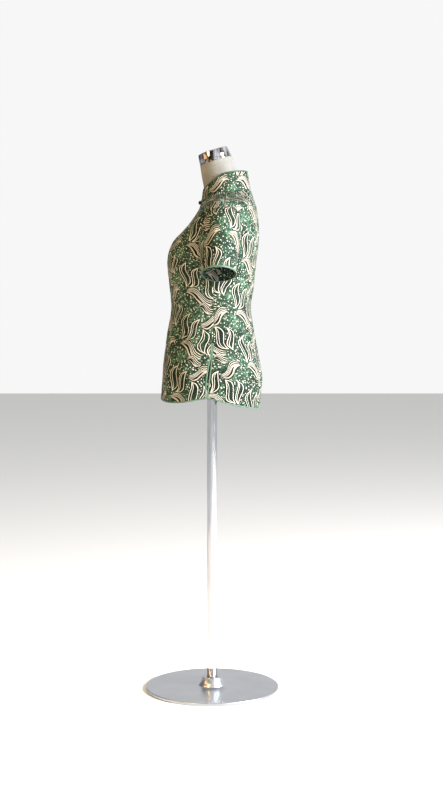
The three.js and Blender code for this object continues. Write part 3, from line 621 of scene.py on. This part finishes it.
def printed_cloth():
    shader = Shader("printed_cloth", Specular_IOR_Level=0.12)
    u0, v0 = shader.cloth()
    u = u0 + (shader.noise(34, u0, v0, 3.0) - 0.5) * WANDER
    v = v0 + (shader.noise(34, u0, v0, 47.0) - 0.5) * WANDER
    ragged = (shader.noise(4.5, u0, v0, 11.0) - 0.5) * 2.2

    def place(cx, cy, turn, length, sway):
        """The share along a motif's curved middle line, from -1 to 1, and the distance off it in mm."""
        du = u - cx
        column = (du * (1 / REPEAT_X)).op("ROUND")
        x0 = du - column * REPEAT_X
        dv = v + column * (REPEAT_Y / 2) - cy
        y0 = dv - (dv * (1 / REPEAT_Y)).op("ROUND") * REPEAT_Y
        c, s = cos_sin(turn)
        x = x0 * c + y0 * s
        return x * (2 / length), y0 * c - x0 * s - x.ripple(length * 1.12) * sway

    # Each motif gives where it covers those before it, then its ivory, black, inside and shade.
    def leaf(cx, cy, turn, length, sway, bow, breadth):
        along, y = place(cx, cy, turn, length, sway)
        swell = 1 - along * along
        y = y - swell * bow
        edge = y.op("ABSOLUTE") - swell * breadth + ragged * 0.8
        fold = y - swell * breadth * 0.34 + ragged * 0.5
        within = edge.step(0.5, -0.5)
        light = edge.line(1.45, 0.85).most(fold.line(1.15, 0.6) * within)
        beside = (fold - 2.6).line(1.5, 0.9) * within
        halo = (edge - 2.9).line(1.7, 1.0) * along.line(1.02, 0.98)
        return edge.step(4.2, 3.4), light, beside.most(halo) * (1 - light), within, 0

    def wave(cx, cy, turn, length, sway, breadth):
        along, y = place(cx, cy, turn, length, sway)
        scale = breadth / 10.5
        edge = y.op("ABSOLUTE") - (1 - along * along) * breadth + ragged * 0.6
        above, reach = y.step(-0.5, 0.5), along.line(1.04, 0.8)

        def pair(*lines):
            """Two lines beside the wave's upper edge, as lean, distance, gone and full."""
            one, two = ((edge - along * lean - off).line(gone, full) for lean, off, gone, full in lines)
            return one.most(two) * (above * reach)

        hair = pair((1.2, 3.5, 1.15, 0.6), (2.6, 7.9, 1.1, 0.55))
        black = pair((1.9, 5.7, 1.7, 1.1), (3.2, 10.0, 1.5, 0.9))
        rim = (edge - 1.6).line(1.9, 1.1) * reach
        body = edge.step(0.6, -0.2)
        slit = (edge + along * 2.4).step(-6.0 * scale, -6.8 * scale)
        vein = (edge + along * 0.9 + 2.8 * scale).line(1.0, 0.5) * above
        light = (body * (1 - slit) * (1 - vein)).most(hair)
        ink = slit.most(black).most(rim).most(vein * body) * (1 - hair)
        below = body * (1 - above) * edge.step(-7 * scale, 0) * 0.8
        return body.most(hair).most(black).most(rim), light, ink, body, below

    ivory = dark = inside = shade = 0
    motifs = [leaf(*row) for row in LEAVES] + [wave(*row) for row in WAVES]
    for cover, light, ink, body, below in motifs:
        left = 1 - cover
        ivory, dark = ivory * left + light, dark * left + ink
        inside, shade = (inside * left).most(body), shade * left + below

    def specks(size, radius, spread_mm, turned):
        c, s = math.cos(turned), math.sin(turned)
        spot = shader.node("ShaderNodeCombineXYZ", X=u0 * c + v0 * s, Y=v0 * c - u0 * s)
        node = shader.node("ShaderNodeTexVoronoi", Vector=spot.outputs[0], Scale=1 / size)
        node.voronoi_dimensions = "2D"
        node.distance = "MINKOWSKI"
        node.inputs["Exponent"].default_value = 3.5
        colour = shader.node("ShaderNodeSeparateColor", Color=node.outputs["Color"])
        reach = Field(shader.tree, colour.outputs[0]) * spread_mm + radius
        return (Field(shader.tree, node.outputs["Distance"]) * size - reach).step(0.35, -0.35)

    dots = specks(9.0, 0.4, 1.5, 0.0).most(specks(8.2, -0.6, 2.1, 0.6)) * (1 - inside) * (1 - dark)
    light = ivory.most(dots)
    mottle = shader.noise(4.2, u0, v0, 5.0, 3.0, 0.6) * 0.62 + shader.noise(15, u0, v0, 9.0) * 0.5
    wear = shader.noise(60, u0, v0, 21.0, 3.0)
    ground = shader.mix(wear.step(0.32, 0.62), DEEP_GREEN, WORN_GREEN)
    ground = shader.mix(mottle.step(0.44, 0.60) * 0.8, ground, MOTTLE)
    ground = shader.mix(inside * (1 - light) * 0.6, ground, LEAF_GREEN)
    ground = shader.mix(dark * 0.93, ground, BLACK)
    strokes = shader.mix(shade, IVORY, SHADED_IVORY)
    strokes = shader.mix(shader.noise(3.0, u0, v0, 31.0).step(0.45, 0.8) * 0.25, strokes, DULL_IVORY)
    shader.set("Base Color", shader.mix(light, ground, strokes))
    shader.set("Roughness", wear * 0.1 + 0.62 + light * 0.05)
    first = shader.bump(shader.noise(5.5, u0 * 0.6, v0, 71.0, 4.0, 0.6), 0.22, 0.5)
    shader.bump(u0.ripple(WEAVE) * v0.ripple(WEAVE) * 0.5 + 0.5, 0.06, 0.6, first)
    return shader.material


def satin_binding(name, low, high):
    shader = Shader(name, Roughness=0.46, Specular_IOR_Level=0.25)
    run, around = shader.cloth()
    tone = shader.noise(11, run, around * 2, 4.0, 3.0)
    colour = shader.mix(tone.step(0.35, 0.7), low, high)
    thread = ((run * (1 / STITCH)).op("FRACT") - 0.36).line(0.3, 0.22)
    stitch = (around - 3.6).line(0.32, 0.18) * thread
    shader.set("Base Color", shader.mix(stitch * 0.55, colour, tuple(0.7 * c for c in low)))
    bias = (run + around * 0.9).ripple(0.75) * 0.5 + 0.5
    first = shader.bump(shader.noise(6, run, around, 9.0, 3.0), 0.35, 0.6)
    second = shader.bump(bias, 0.05, 0.5, first)
    shader.bump(stitch, 0.25, 0.7, second)
    return shader.material


def black_cord():
    shader = Shader("frog", Roughness=0.45, Specular_IOR_Level=0.3)
    run, around = shader.cloth()
    left, right = ((run + around * lean).ripple(BRAID) for lean in (0.48, -0.48))
    braid_height_and_shade = left.most(right) * 0.5 + 0.5
    # The braid's grooves are painted darker and its crests lighter, following the bump's height: painted
    # shade and painted highlight.
    shader.set("Base Color", shader.mix(braid_height_and_shade, (0.025, 0.025, 0.03), (0.085, 0.085, 0.095)))
    shader.bump(braid_height_and_shade, 0.3, 0.8)
    return shader.material


def form_linen():
    shader = Shader("form_cover", Roughness=0.8, Specular_IOR_Level=0.2)
    x, y, z = shader.solid()
    tone = shader.noise(40, x, y, z, 4.0, 0.6)
    slub = shader.noise(3.2, x * 0.5, y * 0.5, z * 3.0, 3.0)
    colour = shader.mix(tone.step(0.3, 0.7), (0.455, 0.452, 0.440), (0.505, 0.500, 0.485))
    shader.set("Base Color", shader.mix(slub.step(0.5, 0.8) * 0.3, colour, (0.39, 0.385, 0.36)))
    first = shader.bump(slub, 0.2, 0.5)
    shader.bump(z.ripple(LINEN_WEFT) * (x + y).ripple(LINEN_WARP) * 0.5 + 0.5, 0.06, 0.6, first)
    return shader.material


def polished(name, dark, light, roughness, streaks, plain_above=None):
    """Chromed metal whose base colour has streaks along its length, up to a level on a tilted cap's axis:
    painted reflections, dark and reddish on the cap and faint on the pole, that also stand for drawn streaks.
    """
    shader = Shader(name, Metallic=1.0)
    x, y, z = shader.solid()
    streak_and_reflection = shader.noise(streaks, x, y, z * 0.04, 3.0, 0.6)
    share = streak_and_reflection.step(0.3, 0.7)
    if plain_above is not None:
        c, s = cos_sin(SEAT_TILT)
        height = (z - SEAT_Z) * c - (y - SEAT_Y) * s
        share = share.most(height.step(plain_above - 1, plain_above + 1))
    # The streaks between the dark and light colours are painted reflections.
    shader.set("Base Color", shader.mix(share, dark, light))
    shader.set("Roughness", shader.noise(22, x, y, z, 3.0) * 0.08 + roughness)
    shader.bump(streak_and_reflection, 0.05, 0.25)
    return shader.material


def brushed_steel():
    shader = Shader("base", Metallic=1.0)
    x, y, z = shader.solid()
    radius = (x * x + y * y).op("SQRT")
    rings = shader.noise(0.9, radius, 0.0, z * 0.2, 3.0, 0.7)
    tone = shader.noise(60, x, y, z, 3.0)
    shader.set("Base Color", shader.mix(rings * 0.6 + tone * 0.4, (0.60, 0.61, 0.63), (0.80, 0.81, 0.83)))
    shader.set("Roughness", rings * 0.16 + 0.26)
    shader.bump(rings, 0.03, 0.35)
    return shader.material


PRINT = printed_cloth()
BINDING = satin_binding("binding", (0.30, 0.385, 0.325), (0.365, 0.45, 0.385))
# The collar's binding is the same satin in a darker tone: painted shade on the collar's edge.
SHADED_COLLAR_BINDING = satin_binding("collar_binding", (0.17, 0.26, 0.20), (0.23, 0.33, 0.26))
FROG = black_cord()
LINEN = form_linen()
# Painted reflections: the cap's dark reddish streaks and the pole's faint pale ones.
CAP = polished("cap", (0.20, 0.165, 0.155), (0.90, 0.90, 0.91), 0.1, 13.0, 27.0)
POLE = polished("pole", (0.78, 0.79, 0.80), (0.90, 0.90, 0.92), 0.08, 5.0)
STEEL = brushed_steel()

# Panels
TURNS = [SLIT_TOP, SLIT_TOP + 1, DIAGONAL_FOOT, UNDERARM, SHOULDER_POINT]  # where a panel's edges turn
OPENING_HALF_GAP = 0.01  # in degrees, hidden by the piping
armhole_levels = ARMHOLE_MIDDLE - ARMHOLE_HALF * np.cos(np.linspace(0, np.pi, 49)[1:-1])
upper_levels = np.concatenate([
    [DIAGONAL_FOOT + 0.8], np.linspace(DIAGONAL_FOOT + 4, UNDERARM, 6), armhole_levels, [SHOULDER_POINT],
    np.linspace(SHOULDER_POINT + 4, NECK_SEAM, 34)])
panel_levels = np.concatenate([
    np.linspace(BINDING_WIDTH - UNDER_BINDING, SLIT_TOP, 50), [SLIT_TOP + 1],
    np.linspace(SLIT_TOP + 4, DIAGONAL_FOOT, 60), upper_levels])


def panel(name, node, levels, start, end, columns, facing, offset):
    """A panel of the garment between two edges, given in degrees at each level."""
    share = np.linspace(0, 1, columns)
    angle = start(levels)[:, None] + (end(levels) - start(levels))[:, None] * share
    up = lifted(angle, levels[:, None])
    point, normal = garment_surface(angle, up)
    out = panel_relief(angle, up)[..., None]
    rows = np.union1d(coarse(len(levels), 46), np.searchsorted(levels, TURNS))
    cols = coarse(columns, 26)
    small = point[np.ix_(rows, cols)]
    flat = flatten(small, np.stack([small[..., 0] * facing, small[..., 2]], -1))
    build = Build()
    build.shell(point + normal * out, point + normal * (out - CLOTH),
                between(flat, rows, cols, angle.shape) + offset)
    piece = build.make(name, PRINT, node)
    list(flat_facts(flat))
    return piece


def overlap_edge(up):
    seam = panel_edge(-90, 1, FRONT_BITE, up)
    return np.where(up > DIAGONAL_FOOT, diagonal_angle(up) + OPENING_HALF_GAP, seam)


front = panel("cloth_front", "front_panel", panel_levels, overlap_edge,
              partial(panel_edge, 90, -1, FRONT_BITE), 150, 1, (0, 0))
chest = panel("cloth_right_chest", "right_chest_panel", upper_levels, partial(panel_edge, -90, 1, FRONT_BITE),
              lambda up: diagonal_angle(up) - OPENING_HALF_GAP, 60, 1, (31, 12))
back = panel("cloth_back", "back_panel", panel_levels, partial(panel_edge, 90, 1, BACK_BITE),
             partial(panel_edge, 270, -1, BACK_BITE), 150, -1, (17, 58))

# Sleeves
CUFF_INNER = np.array([167, 19, 1130.0])
CUFF_OUTER = np.array([266, 19, 1167.0])
CUFF_HALF_DEPTH = 46
SLEEVE_LENGTH = 165
SLEEVE_MM_PER_DEGREE = 0.92


def sleeve_point(turned, down):
    """turned in radians from the underarm by the front, down from 0 at the armhole to 1 at the cuff."""
    turned, down = np.broadcast_arrays(np.asarray(turned, float), np.asarray(down, float))
    bite = np.where(np.sin(turned) >= 0, FRONT_BITE, BACK_BITE)
    start = garment_point(90 - bite * np.sin(turned), ARMHOLE_MIDDLE - ARMHOLE_HALF * np.cos(turned))
    upper, zero = (1 - np.cos(turned)) / 2, 0 * turned
    leaving = unit(np.stack([0.84 + 0.04 * upper, -0.1 * np.sin(turned), -0.52 + 0.06 * upper], -1))
    cuff = CUFF_INNER + (CUFF_OUTER - CUFF_INNER) * upper[..., None]
    cuff = cuff + np.stack([zero, -CUFF_HALF_DEPTH * np.sin(turned), zero], -1)
    arriving = unit(np.stack([0.34 - 0.08 * upper, zero, zero - 0.94], -1))
    p1 = start + leaving * (10 + 45 * upper)[..., None]
    p2 = cuff - arriving * (20 + 55 * upper)[..., None]
    t = down[..., None]
    return start * (1 - t) ** 3 + 3 * p1 * t * (1 - t) ** 2 + 3 * p2 * t * t * (1 - t) + cuff * t**3


def sleeve_surface(turned, down):
    around = sleeve_point(turned + 0.01, down) - sleeve_point(turned - 0.01, down)
    lower, higher = np.minimum(down + 0.01, 1), np.maximum(down - 0.01, 0)
    along = sleeve_point(turned, lower) - sleeve_point(turned, higher)
    return sleeve_point(turned, down), unit(np.cross(along, around))


def sleeve_relief(turned, down):
    degrees, below = np.degrees(turned), down * SLEEVE_LENGTH
    total = crease_relief(degrees, below, SLEEVE_CREASES, SLEEVE_MM_PER_DEGREE)
    total = total + undulation(degrees * SLEEVE_MM_PER_DEGREE, below, 0.25, 8)
    total = total + seam_line(below, degrees * 1.2, 0.7)
    total = total + seam_line(turn_between(degrees, 0) * 0.8, below, 0.5)
    return total * smoothstep(SLEEVE_LENGTH + 1, SLEEVE_LENGTH - 9, below)


def sleeve(side, mirror, offset):
    columns = 120
    way = (mirror, 1, 1)
    turned = math.tau * np.arange(columns + 1) / columns
    down = np.linspace(1 - (BINDING_WIDTH - UNDER_BINDING) / SLEEVE_LENGTH, 0, 72)[:, None]
    point, normal = sleeve_surface(turned, down)
    out = sleeve_relief(turned + 0 * down, down + 0 * turned)[..., None]
    rows, cols = coarse(len(down), 20), coarse(columns + 1, 31)
    small = point[np.ix_(rows, cols)]
    outside = np.broadcast_to(np.clip(-np.cos(turned[cols]), 0, 1), small.shape[:2]) + 0.001
    flat = flatten(small, small[..., 1:], outside, 500)
    outer, inner = point + normal * out, point + normal * (out - CLOTH)
    build = Build()
    build.shell(outer[:, :-1] * way, inner[:, :-1] * way,
                between(flat, rows, cols, point.shape[:2]) * (mirror, 1) + offset, loop=True)
    piece = build.make("cloth_sleeve_" + side, PRINT, "sleeve_" + side)
    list(flat_facts(flat))

    outer_edge, normal = sleeve_surface(turned[:-1], 1.0)
    inner_edge = sleeve_point(turned[:-1], 1 - (BINDING_WIDTH + 0.3) / SLEEVE_LENGTH)
    build = Build()
    middle = (outer_edge + inner_edge) / 2 - normal * CLOTH / 2
    build.band(middle * way, (outer_edge - inner_edge) / 2 * way, normal * BINDING_HALF_HEIGHT * way,
               closed=True, square=2.6)
    return piece, build.make("binding_cuff_" + side, BINDING, "cuff_binding_" + side)


sleeve_left, cuff_left = sleeve("left", 1, (-20, 44))
sleeve_right, cuff_right = sleeve("right", -1, (42, 90))


# Bindings of the hem and the slits
def hem_band(name, node, low_side, high_side):
    """One band up a slit, round the hem and up the other slit. The sides are its panel's seams."""
    levels = np.concatenate([np.linspace(BINDING_WIDTH, 40, 14), np.linspace(44, SLIT_TOP, 34)])

    def slit(side, towards, up):
        half = slit_half_gap(up)
        return [(off_side(side, towards, up, distance), up) for distance in (half, half + BINDING_WIDTH)]

    def corner(side, towards):
        phase = np.linspace(0, np.pi / 2, 11)[1:-1]
        c, s = np.cos(phase) ** 0.6, np.sin(phase) ** 0.6
        level = np.full(len(phase), float(BINDING_WIDTH))
        reach = slit_half_gap(level) + BINDING_WIDTH
        edge = (off_side(side, towards, level, reach - BINDING_WIDTH * c), BINDING_WIDTH * (1 - s))
        return edge, (off_side(side, towards, level, reach), level)

    def backwards(stretch):
        return tuple((a[::-1], u[::-1]) for a, u in stretch)

    at = np.full(1, float(BINDING_WIDTH))
    inner = slit_half_gap(at) + BINDING_WIDTH
    start, end = off_side(low_side, 1, at, inner)[0], off_side(high_side, -1, at, inner)[0]
    angles = np.linspace(start, end, 150)
    stretches = [
        backwards(slit(low_side, 1, levels)),
        corner(low_side, 1),
        ((angles, 0 * angles), (angles, 0 * angles + BINDING_WIDTH)),
        backwards(corner(high_side, -1)),
        slit(high_side, -1, levels),
    ]
    edges = []
    for k in (0, 1):
        angle, up = (np.concatenate([stretch[k][part] for stretch in stretches]) for part in (0, 1))
        point, normal = garment_surface(angle, lifted(angle, up))
        edges.append((point + normal * panel_relief(angle, lifted(angle, up))[:, None], normal))
    (edge, normal), (inner_edge, _) = edges
    wave = undulation(np.arange(len(edge)) * 3.0, 0 * edge[:, 0], 0.12, 3)[:, None]
    build = Build()
    build.band((edge + inner_edge) / 2 + normal * (wave - CLOTH / 2), (edge - inner_edge) / 2 * 1.04,
               normal * BINDING_HALF_HEIGHT, square=2.6)
    return build.make(name, BINDING, node)


front_band = hem_band("binding_front_hem", "front_hem_binding", -90, 90)
back_band = hem_band("binding_back_hem", "back_hem_binding", 90, 270)

# The binding of the diagonal opening
PIPING_HALF_HEIGHT = 0.95
path_levels = np.linspace(DIAGONAL_FOOT + 1, NECK_SEAM - 0.3, 120)
point, normal = garment_surface(diagonal_angle(path_levels), path_levels)
point = point + normal * panel_relief(diagonal_angle(path_levels), path_levels)[:, None] * 0.6
across = unit(np.cross(normal, np.gradient(point, axis=0)))
build = Build()
build.band(point + normal * PIPING_HALF_HEIGHT, across * PIPING_WIDTH / 2, normal * PIPING_HALF_HEIGHT,
           square=2.3)
opening_band = build.make("binding_opening", BINDING, "opening_binding")

# Collar
COLLAR_SIDE_Y, COLLAR_SIDE_Z = 36.0, 1424
COLLAR_TOP = dict(front_y=-24.5, side_x=59.5, side_y=COLLAR_SIDE_Y, back_y=97.0, front_square=2.25,
                  back_square=2.05)
COLLAR_HALF_GAP = 1.6
COLLAR_GRAIN = 86  # where the collar is cut from the print
COLLAR_CORNER = 17


def collar_foot(angle):
    return garment_point(angle, NECK_SEAM) + (0, 0, -0.6)


def collar_top(angle):
    front, radius, share = egg(angle, **COLLAR_TOP)
    z = COLLAR_SIDE_Z + np.where(front, -43 * share**1.3, 7 * (1 - (1 - share) ** 2))
    return ring_point(angle, radius, COLLAR_SIDE_Y, z)


def collar_surface(angle, share):
    share = np.asarray(share, float)[..., None]

    def at(a):
        return collar_foot(a) * (1 - share) + collar_top(a) * share

    around = at(angle + 0.5) - at(angle - 0.5)
    return at(angle), unit(np.cross(around, collar_top(angle) - collar_foot(angle)))


corner_share = np.linspace(0.01, 1, 26) ** 1.5
straight = 7 / np.linalg.norm(collar_top(COLLAR_HALF_GAP) - collar_foot(COLLAR_HALF_GAP))
edge_angle = np.concatenate([
    np.full(5, COLLAR_HALF_GAP), COLLAR_HALF_GAP + COLLAR_CORNER * corner_share,
    np.linspace(COLLAR_HALF_GAP + COLLAR_CORNER, 180, 84)[1:]])
edge_share = np.concatenate([
    np.linspace(0, straight * 0.9, 5),
    straight + (1 - straight) * (1 - (1 - corner_share) ** 2.4) ** (1 / 2.4), np.ones(83)])
edge_angle = np.concatenate([edge_angle, 360 - edge_angle[-2::-1]])
edge_share = np.concatenate([edge_share, edge_share[-2::-1]])
edge, edge_normal = collar_surface(edge_angle, edge_share)
inward = unit(np.cross(np.gradient(edge, axis=0), edge_normal))

rim = (edge + inward * (BINDING_WIDTH - UNDER_BINDING))[2:-2]
rim_angle = np.degrees(np.arctan2(rim[:, 0], COLLAR_SIDE_Y - rim[:, 1]))
rim_normal = collar_surface(rim_angle, np.full_like(rim_angle, 0.5))[1]
share = np.linspace(0, 1, 16)[:, None]
foot = collar_foot(rim_angle)
point = foot * (1 - share[..., None]) + rim * share[..., None]
run = np.append(0, np.cumsum(np.linalg.norm(np.diff(foot, axis=0), axis=1)))
flat = np.stack([run + 0 * share, share * np.linalg.norm(rim - foot, axis=1) + COLLAR_GRAIN], -1)
out = undulation(flat[..., 0], flat[..., 1], 0.22, 12)
out = out + seam_line(flat[..., 1] - COLLAR_GRAIN, flat[..., 0], 0.5)
out = (out * smoothstep(1.0, 0.8, share))[..., None]
build = Build()
build.shell(point + rim_normal * out, point + rim_normal * (out - COLLAR_CLOTH), flat)
collar = build.make("cloth_collar", PRINT, "collar")
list(flat_facts(flat))

inner_edge = edge + inward * BINDING_WIDTH
build = Build()
build.band((edge + inner_edge) / 2 - edge_normal * COLLAR_CLOTH / 2, (edge - inner_edge) / 2 * 1.04,
           edge_normal * 1.5, square=2.5)
collar_band = build.make("binding_collar", SHADED_COLLAR_BINDING, "collar_binding")

# Frogs
CORD = 1.05  # radius of the frogs' cord
STRANDS = (1.05, 2.95)  # how far the two cords of a leg lie off its middle line
LOOP_RADIUS = 5.0
KNOT_RADIUS = 3.55
# name, up, length, turn, step
FROGS = [("throat", 641, 22, 8, 6), ("chest", 480, 26, 36, 5)]


def frog(name, up, length, turn, step):
    centre = float(diagonal_angle(up))
    place, normal = garment_surface(centre, up)
    per_degree, per_level = np.linalg.norm(garment_steps(centre, up), axis=-1)
    c, s = cos_sin(-turn)

    def on_cloth(side, along, off, height):
        """A point along the leg, off its middle line, above the cloth or the opening's binding."""
        x, y = side * along * c - off * s, side * along * s + off * c
        foot, away = garment_surface(centre + x / per_degree, up + y / per_level)
        lift = 1.9 * (1 - smoothstep(step - 1.5, step + 2.5, along)) + 0.1
        return foot + away * (lift + height)[..., None]

    def strand(side, start, half):
        """One cord out along the leg, round its end and back."""
        end = length - 3.6 - CORD
        out = np.linspace(start, end, 26)
        phase = np.linspace(-np.pi / 2, np.pi / 2, 14)[1:-1]
        along = np.concatenate([out, end + half * np.cos(phase), out[::-1]])
        off = np.concatenate([0 * out - half, half * np.sin(phase), 0 * out + half])
        return on_cloth(side, along, off, CORD + 0.2)

    knot_at = place + normal * (1.7 + 2 * CORD + 1.0)
    east = unit(np.cross((0.0, 0.0, 1.0), normal))
    north = np.cross(normal, east)
    t = np.linspace(0, math.tau, 220, endpoint=False)
    tilt = np.radians(62) * np.sin(4 * t)
    reach = KNOT_RADIUS + 0.5 * np.cos(8 * t + np.pi / 2)
    ball = np.stack([np.cos(tilt) * np.cos(3 * t), np.cos(tilt) * np.sin(3 * t), np.sin(tilt) * 0.68], -1)
    ball = ball * reach[:, None] @ np.stack([east, north, normal])
    core = np.linspace(-2.0, 2.0, 7)[:, None]
    width = 3.1 * np.sqrt(1 - (core / 2.3) ** 2)

    knot = Build()
    loop = Build()
    for half in STRANDS:
        knot.cord(strand(1, -1.5, half), CORD)
        loop.cord(strand(-1, LOOP_RADIUS - 0.4, half), CORD)
    knot.cord(knot_at + ball, 0.98, closed=True)
    knot.band(knot_at + normal * core, width * east, width * north, around=20)
    ring = np.linspace(0, math.tau, 24, endpoint=False)
    eye = on_cloth(-1, LOOP_RADIUS * np.cos(ring), LOOP_RADIUS * np.sin(ring), CORD * 2.2)
    loop.cord(eye, CORD * 0.9, closed=True)
    knot.make(f"frog_{name}_knot", FROG, f"frog_{name}_knot_half")
    loop.make(f"frog_{name}_loop", FROG, f"frog_{name}_loop_half")


for row in FROGS:
    frog(*row)

# Dress form and stand
FORM_BOTTOM = 862
FORM_LOW, FORM_HIGH = 40, 650  # the levels between which the form's inset changes
FORM_INSET = np.array([(40, 16), (130, 15), (258, 11), (330, 7.5), (392, 5.8), (600, 5.4), (650, 6)], float)
# y, z, half width, half depth, tilt
NECK = [(34, 1369, 55, 57.5, 14), (31.5, 1386, 48.5, 54, 14), (27.5, 1404, 46.5, 52, 15),
        (19.5, 1430, 45.5, 49, 16.5), (SEAT_Y, SEAT_Z, 44.8, 44.8, SEAT_TILT)]

angles = np.linspace(0, 360, 129)[:-1]


def form_point(angle, up):
    point, normal = garment_surface(angle, up)
    return point - normal * along_table(FORM_INSET, np.clip(up, FORM_LOW, FORM_HIGH))


low, high = np.zeros(len(angles)), np.full(len(angles), 200.0)
for _ in range(30):
    middle = (low + high) / 2
    under = form_point(angles, middle)[:, 2] < FORM_BOTTOM
    low, high = np.where(under, middle, low), np.where(under, high, middle)
rows = [form_point(angles, low + (UNDERARM - low) * k) for k in np.linspace(0, 1, 26)]
rows += [form_point(angles, up) for up in np.linspace(404, 640, 30)]
neck = []
for y, z, half_width, half_depth, tilt in NECK:
    ahead, aside = cos_sin(angles)
    c, s = cos_sin(tilt)
    neck.append(np.stack([half_width * aside, y - half_depth * ahead * c, z - half_depth * ahead * s], -1))
keys = [rows[-2], rows[-1], *neck, neck[-1] * 2 - neck[-2]]
for a, b, c, d in zip(keys, keys[1:], keys[2:], keys[3:]):
    for t in np.linspace(0, 1, 9)[1:]:
        bend, twist = 2 * a - 5 * b + 4 * c - d, 3 * b - a - 3 * c + d
        rows.append(0.5 * (2 * b + (c - a) * t + bend * t**2 + twist * t**3))
body = np.array(rows)
body[0, :, 2] = FORM_BOTTOM
outward = unit(body[..., :2] - body[..., :2].mean(1, keepdims=True))
seam = np.exp(-((turn_between(angles, 90) / 1.1) ** 2)) + np.exp(-((turn_between(angles, -90) / 1.1) ** 2))
body[..., :2] -= outward * (seam * 0.5)[:, None]
foot, top = body[0].mean(0), body[-1].mean(0)
shrink = np.array([0.02, 0.5, 0.97])[:, None, None]
body = np.concatenate([foot + (body[0] - foot) * shrink, body, top + (body[-1] - top) * shrink[::-1]])
build = Build()
build.tube(body, np.arange(len(body)) * 8.0, 8.0)
form = build.make("dress_form", LINEN, "form_torso")


def arc(r, z, radius, *turns):
    return [(r + radius * c, z + radius * s) for c, s in map(cos_sin, turns)]


def quarter(r, z, radius, start, steps):
    return arc(r, z, radius, *np.linspace(start, start + 90, steps))


def turned_piece(name, outline, material, node, place=lambda points: points):
    """A lathed piece about the Z axis, from outline points (radius, z)."""
    radius, z = np.array(outline, float).T[..., None]
    phase = math.tau * np.arange(128) / 128
    build = Build()
    build.tube(place(np.stack([radius * np.cos(phase), radius * np.sin(phase), z + 0 * phase], -1)),
               (z + radius)[:, 0], 2.0)
    build.make(name, material, node)


def on_neck(points):
    """From the cap's own axis to the neck's tilted top."""
    x, y, z = points[..., 0], points[..., 1], points[..., 2] + 0.3
    c, s = cos_sin(SEAT_TILT)
    return np.stack([x, SEAT_Y + y * c - z * s, SEAT_Z + y * s + z * c], -1)


turned_piece("neck_cap_metal", [
    (1, 0), (43.4, 0), *quarter(44.2, 0.6, 0.6, -90, 5), (44.75, 3.0), (44.35, 3.4), (44.3, 4.0),
    (44.55, 4.4), (43.4, 15), (42.2, 24.5), *arc(38.8, 26.2, 3.0, *np.linspace(5, 90, 10)), (30, 29.5),
    (15, 29.8), (1, 29.9),
], CAP, "neck_cap", on_neck)
turned_piece("stand_pole_metal", [
    (1, 23), (12.5, 23), (14, 24.5), (14, 60), (14, 400), (14, 845), (14.2, 850), (16, 853.6), (20, 855.2),
    (40, 855.7), *quarter(41.4, 856.3, 0.6, -90, 4), (42, 861), *quarter(41.4, 861.1, 0.6, 0, 4), (1, 861.7),
], POLE, "stand_pole")
turned_piece("stand_base_metal", [
    (1, 0), (182, 0), *quarter(183, 2, 2, -90, 6), *quarter(182.4, 6.2, 2.6, 0, 8), (120, 9), (60, 9.1),
    *arc(40, 14.2, 5, -90, -110, -135, -160, -180), (33, 16), (30.5, 20), (28.6, 30),
    *quarter(25.6, 31.4, 2.6, 0, 7), (17, 34), *quarter(15.8, 32.6, 1.4, 90, 4), (14.4, 28), (14.4, 23),
    (1, 23),
], STEEL, "stand_base")

# Floor, light and camera: metres from here on
FLOOR_HALF = 12
CAMERA_PLACE, CAMERA_AIM = (4.01, 0.026, 1.10), (0, 0.026, 0.823)

floor_mesh = bpy.data.meshes.new("floor")
floor_mesh.from_pydata([(x * FLOOR_HALF, y * FLOOR_HALF, 0) for x, y in ((-1, -1), (1, -1), (1, 1), (-1, 1))],
                       [], [(0, 1, 2, 3)])
floor_shader = Shader("floor", Roughness=0.9, Specular_IOR_Level=0.2, Base_Color=linear((0.86, 0.86, 0.855)))
floor_mesh.materials.append(floor_shader.material)
floor = in_scene("floor", floor_mesh)

world = bpy.data.worlds.new("studio")
world.use_nodes = True
room = world.node_tree
sky = room.nodes["Background"]
sky.inputs["Color"].default_value = (1, 1, 1, 1)
heading = room.nodes.new("ShaderNodeSeparateXYZ")
room.links.new(room.nodes.new("ShaderNodeTexCoord").outputs["Generated"], heading.inputs[0])
dimmer = room.nodes.new("ShaderNodeMapRange")  # the room is dimmer in front of the garment
for place, value in (("From Min", -0.6), ("From Max", -0.2), ("To Min", 0.22), ("To Max", 0.78)):
    dimmer.inputs[place].default_value = value
room.links.new(heading.outputs["Y"], dimmer.inputs["Value"])
room.links.new(dimmer.outputs["Result"], sky.inputs["Strength"])
bpy.context.scene.world = world


def aim_at(thing, place, aim):
    thing.location = place
    thing.rotation_euler = (Vector(aim) - Vector(place)).to_track_quat("-Z", "Y").to_euler()


def soft_light(name, place, aim, width, height, watts, colour):
    light = bpy.data.lights.new(name, "AREA")
    light.shape = "RECTANGLE"
    light.size, light.size_y, light.energy, light.color = width, height, watts, colour
    aim_at(in_scene(name, light), place, aim)


soft_light("key", (2.1, 3.5, 2.3), (0, 0, 1.1), 1.0, 1.4, 540, (0.98, 0.98, 1.0))
soft_light("warm", (1.5, -1.3, 1.9), (0.1, -0.08, 1.26), 0.5, 0.5, 22, (1.0, 0.74, 0.25))
soft_light("low_warm", (0.9, -2.6, 1.2), (0, 0, 1.0), 0.9, 0.9, 18, (1.0, 0.56, 0.28))

camera_data = bpy.data.cameras.new("camera")
camera_data.lens = 66.7
camera_data.sensor_width = 36
camera = in_scene("camera", camera_data)
aim_at(camera, CAMERA_PLACE, CAMERA_AIM)
bpy.context.scene.camera = camera
bpy.context.scene.view_settings.view_transform = "Standard"
bpy.context.scene.view_settings.look = "Medium High Contrast"
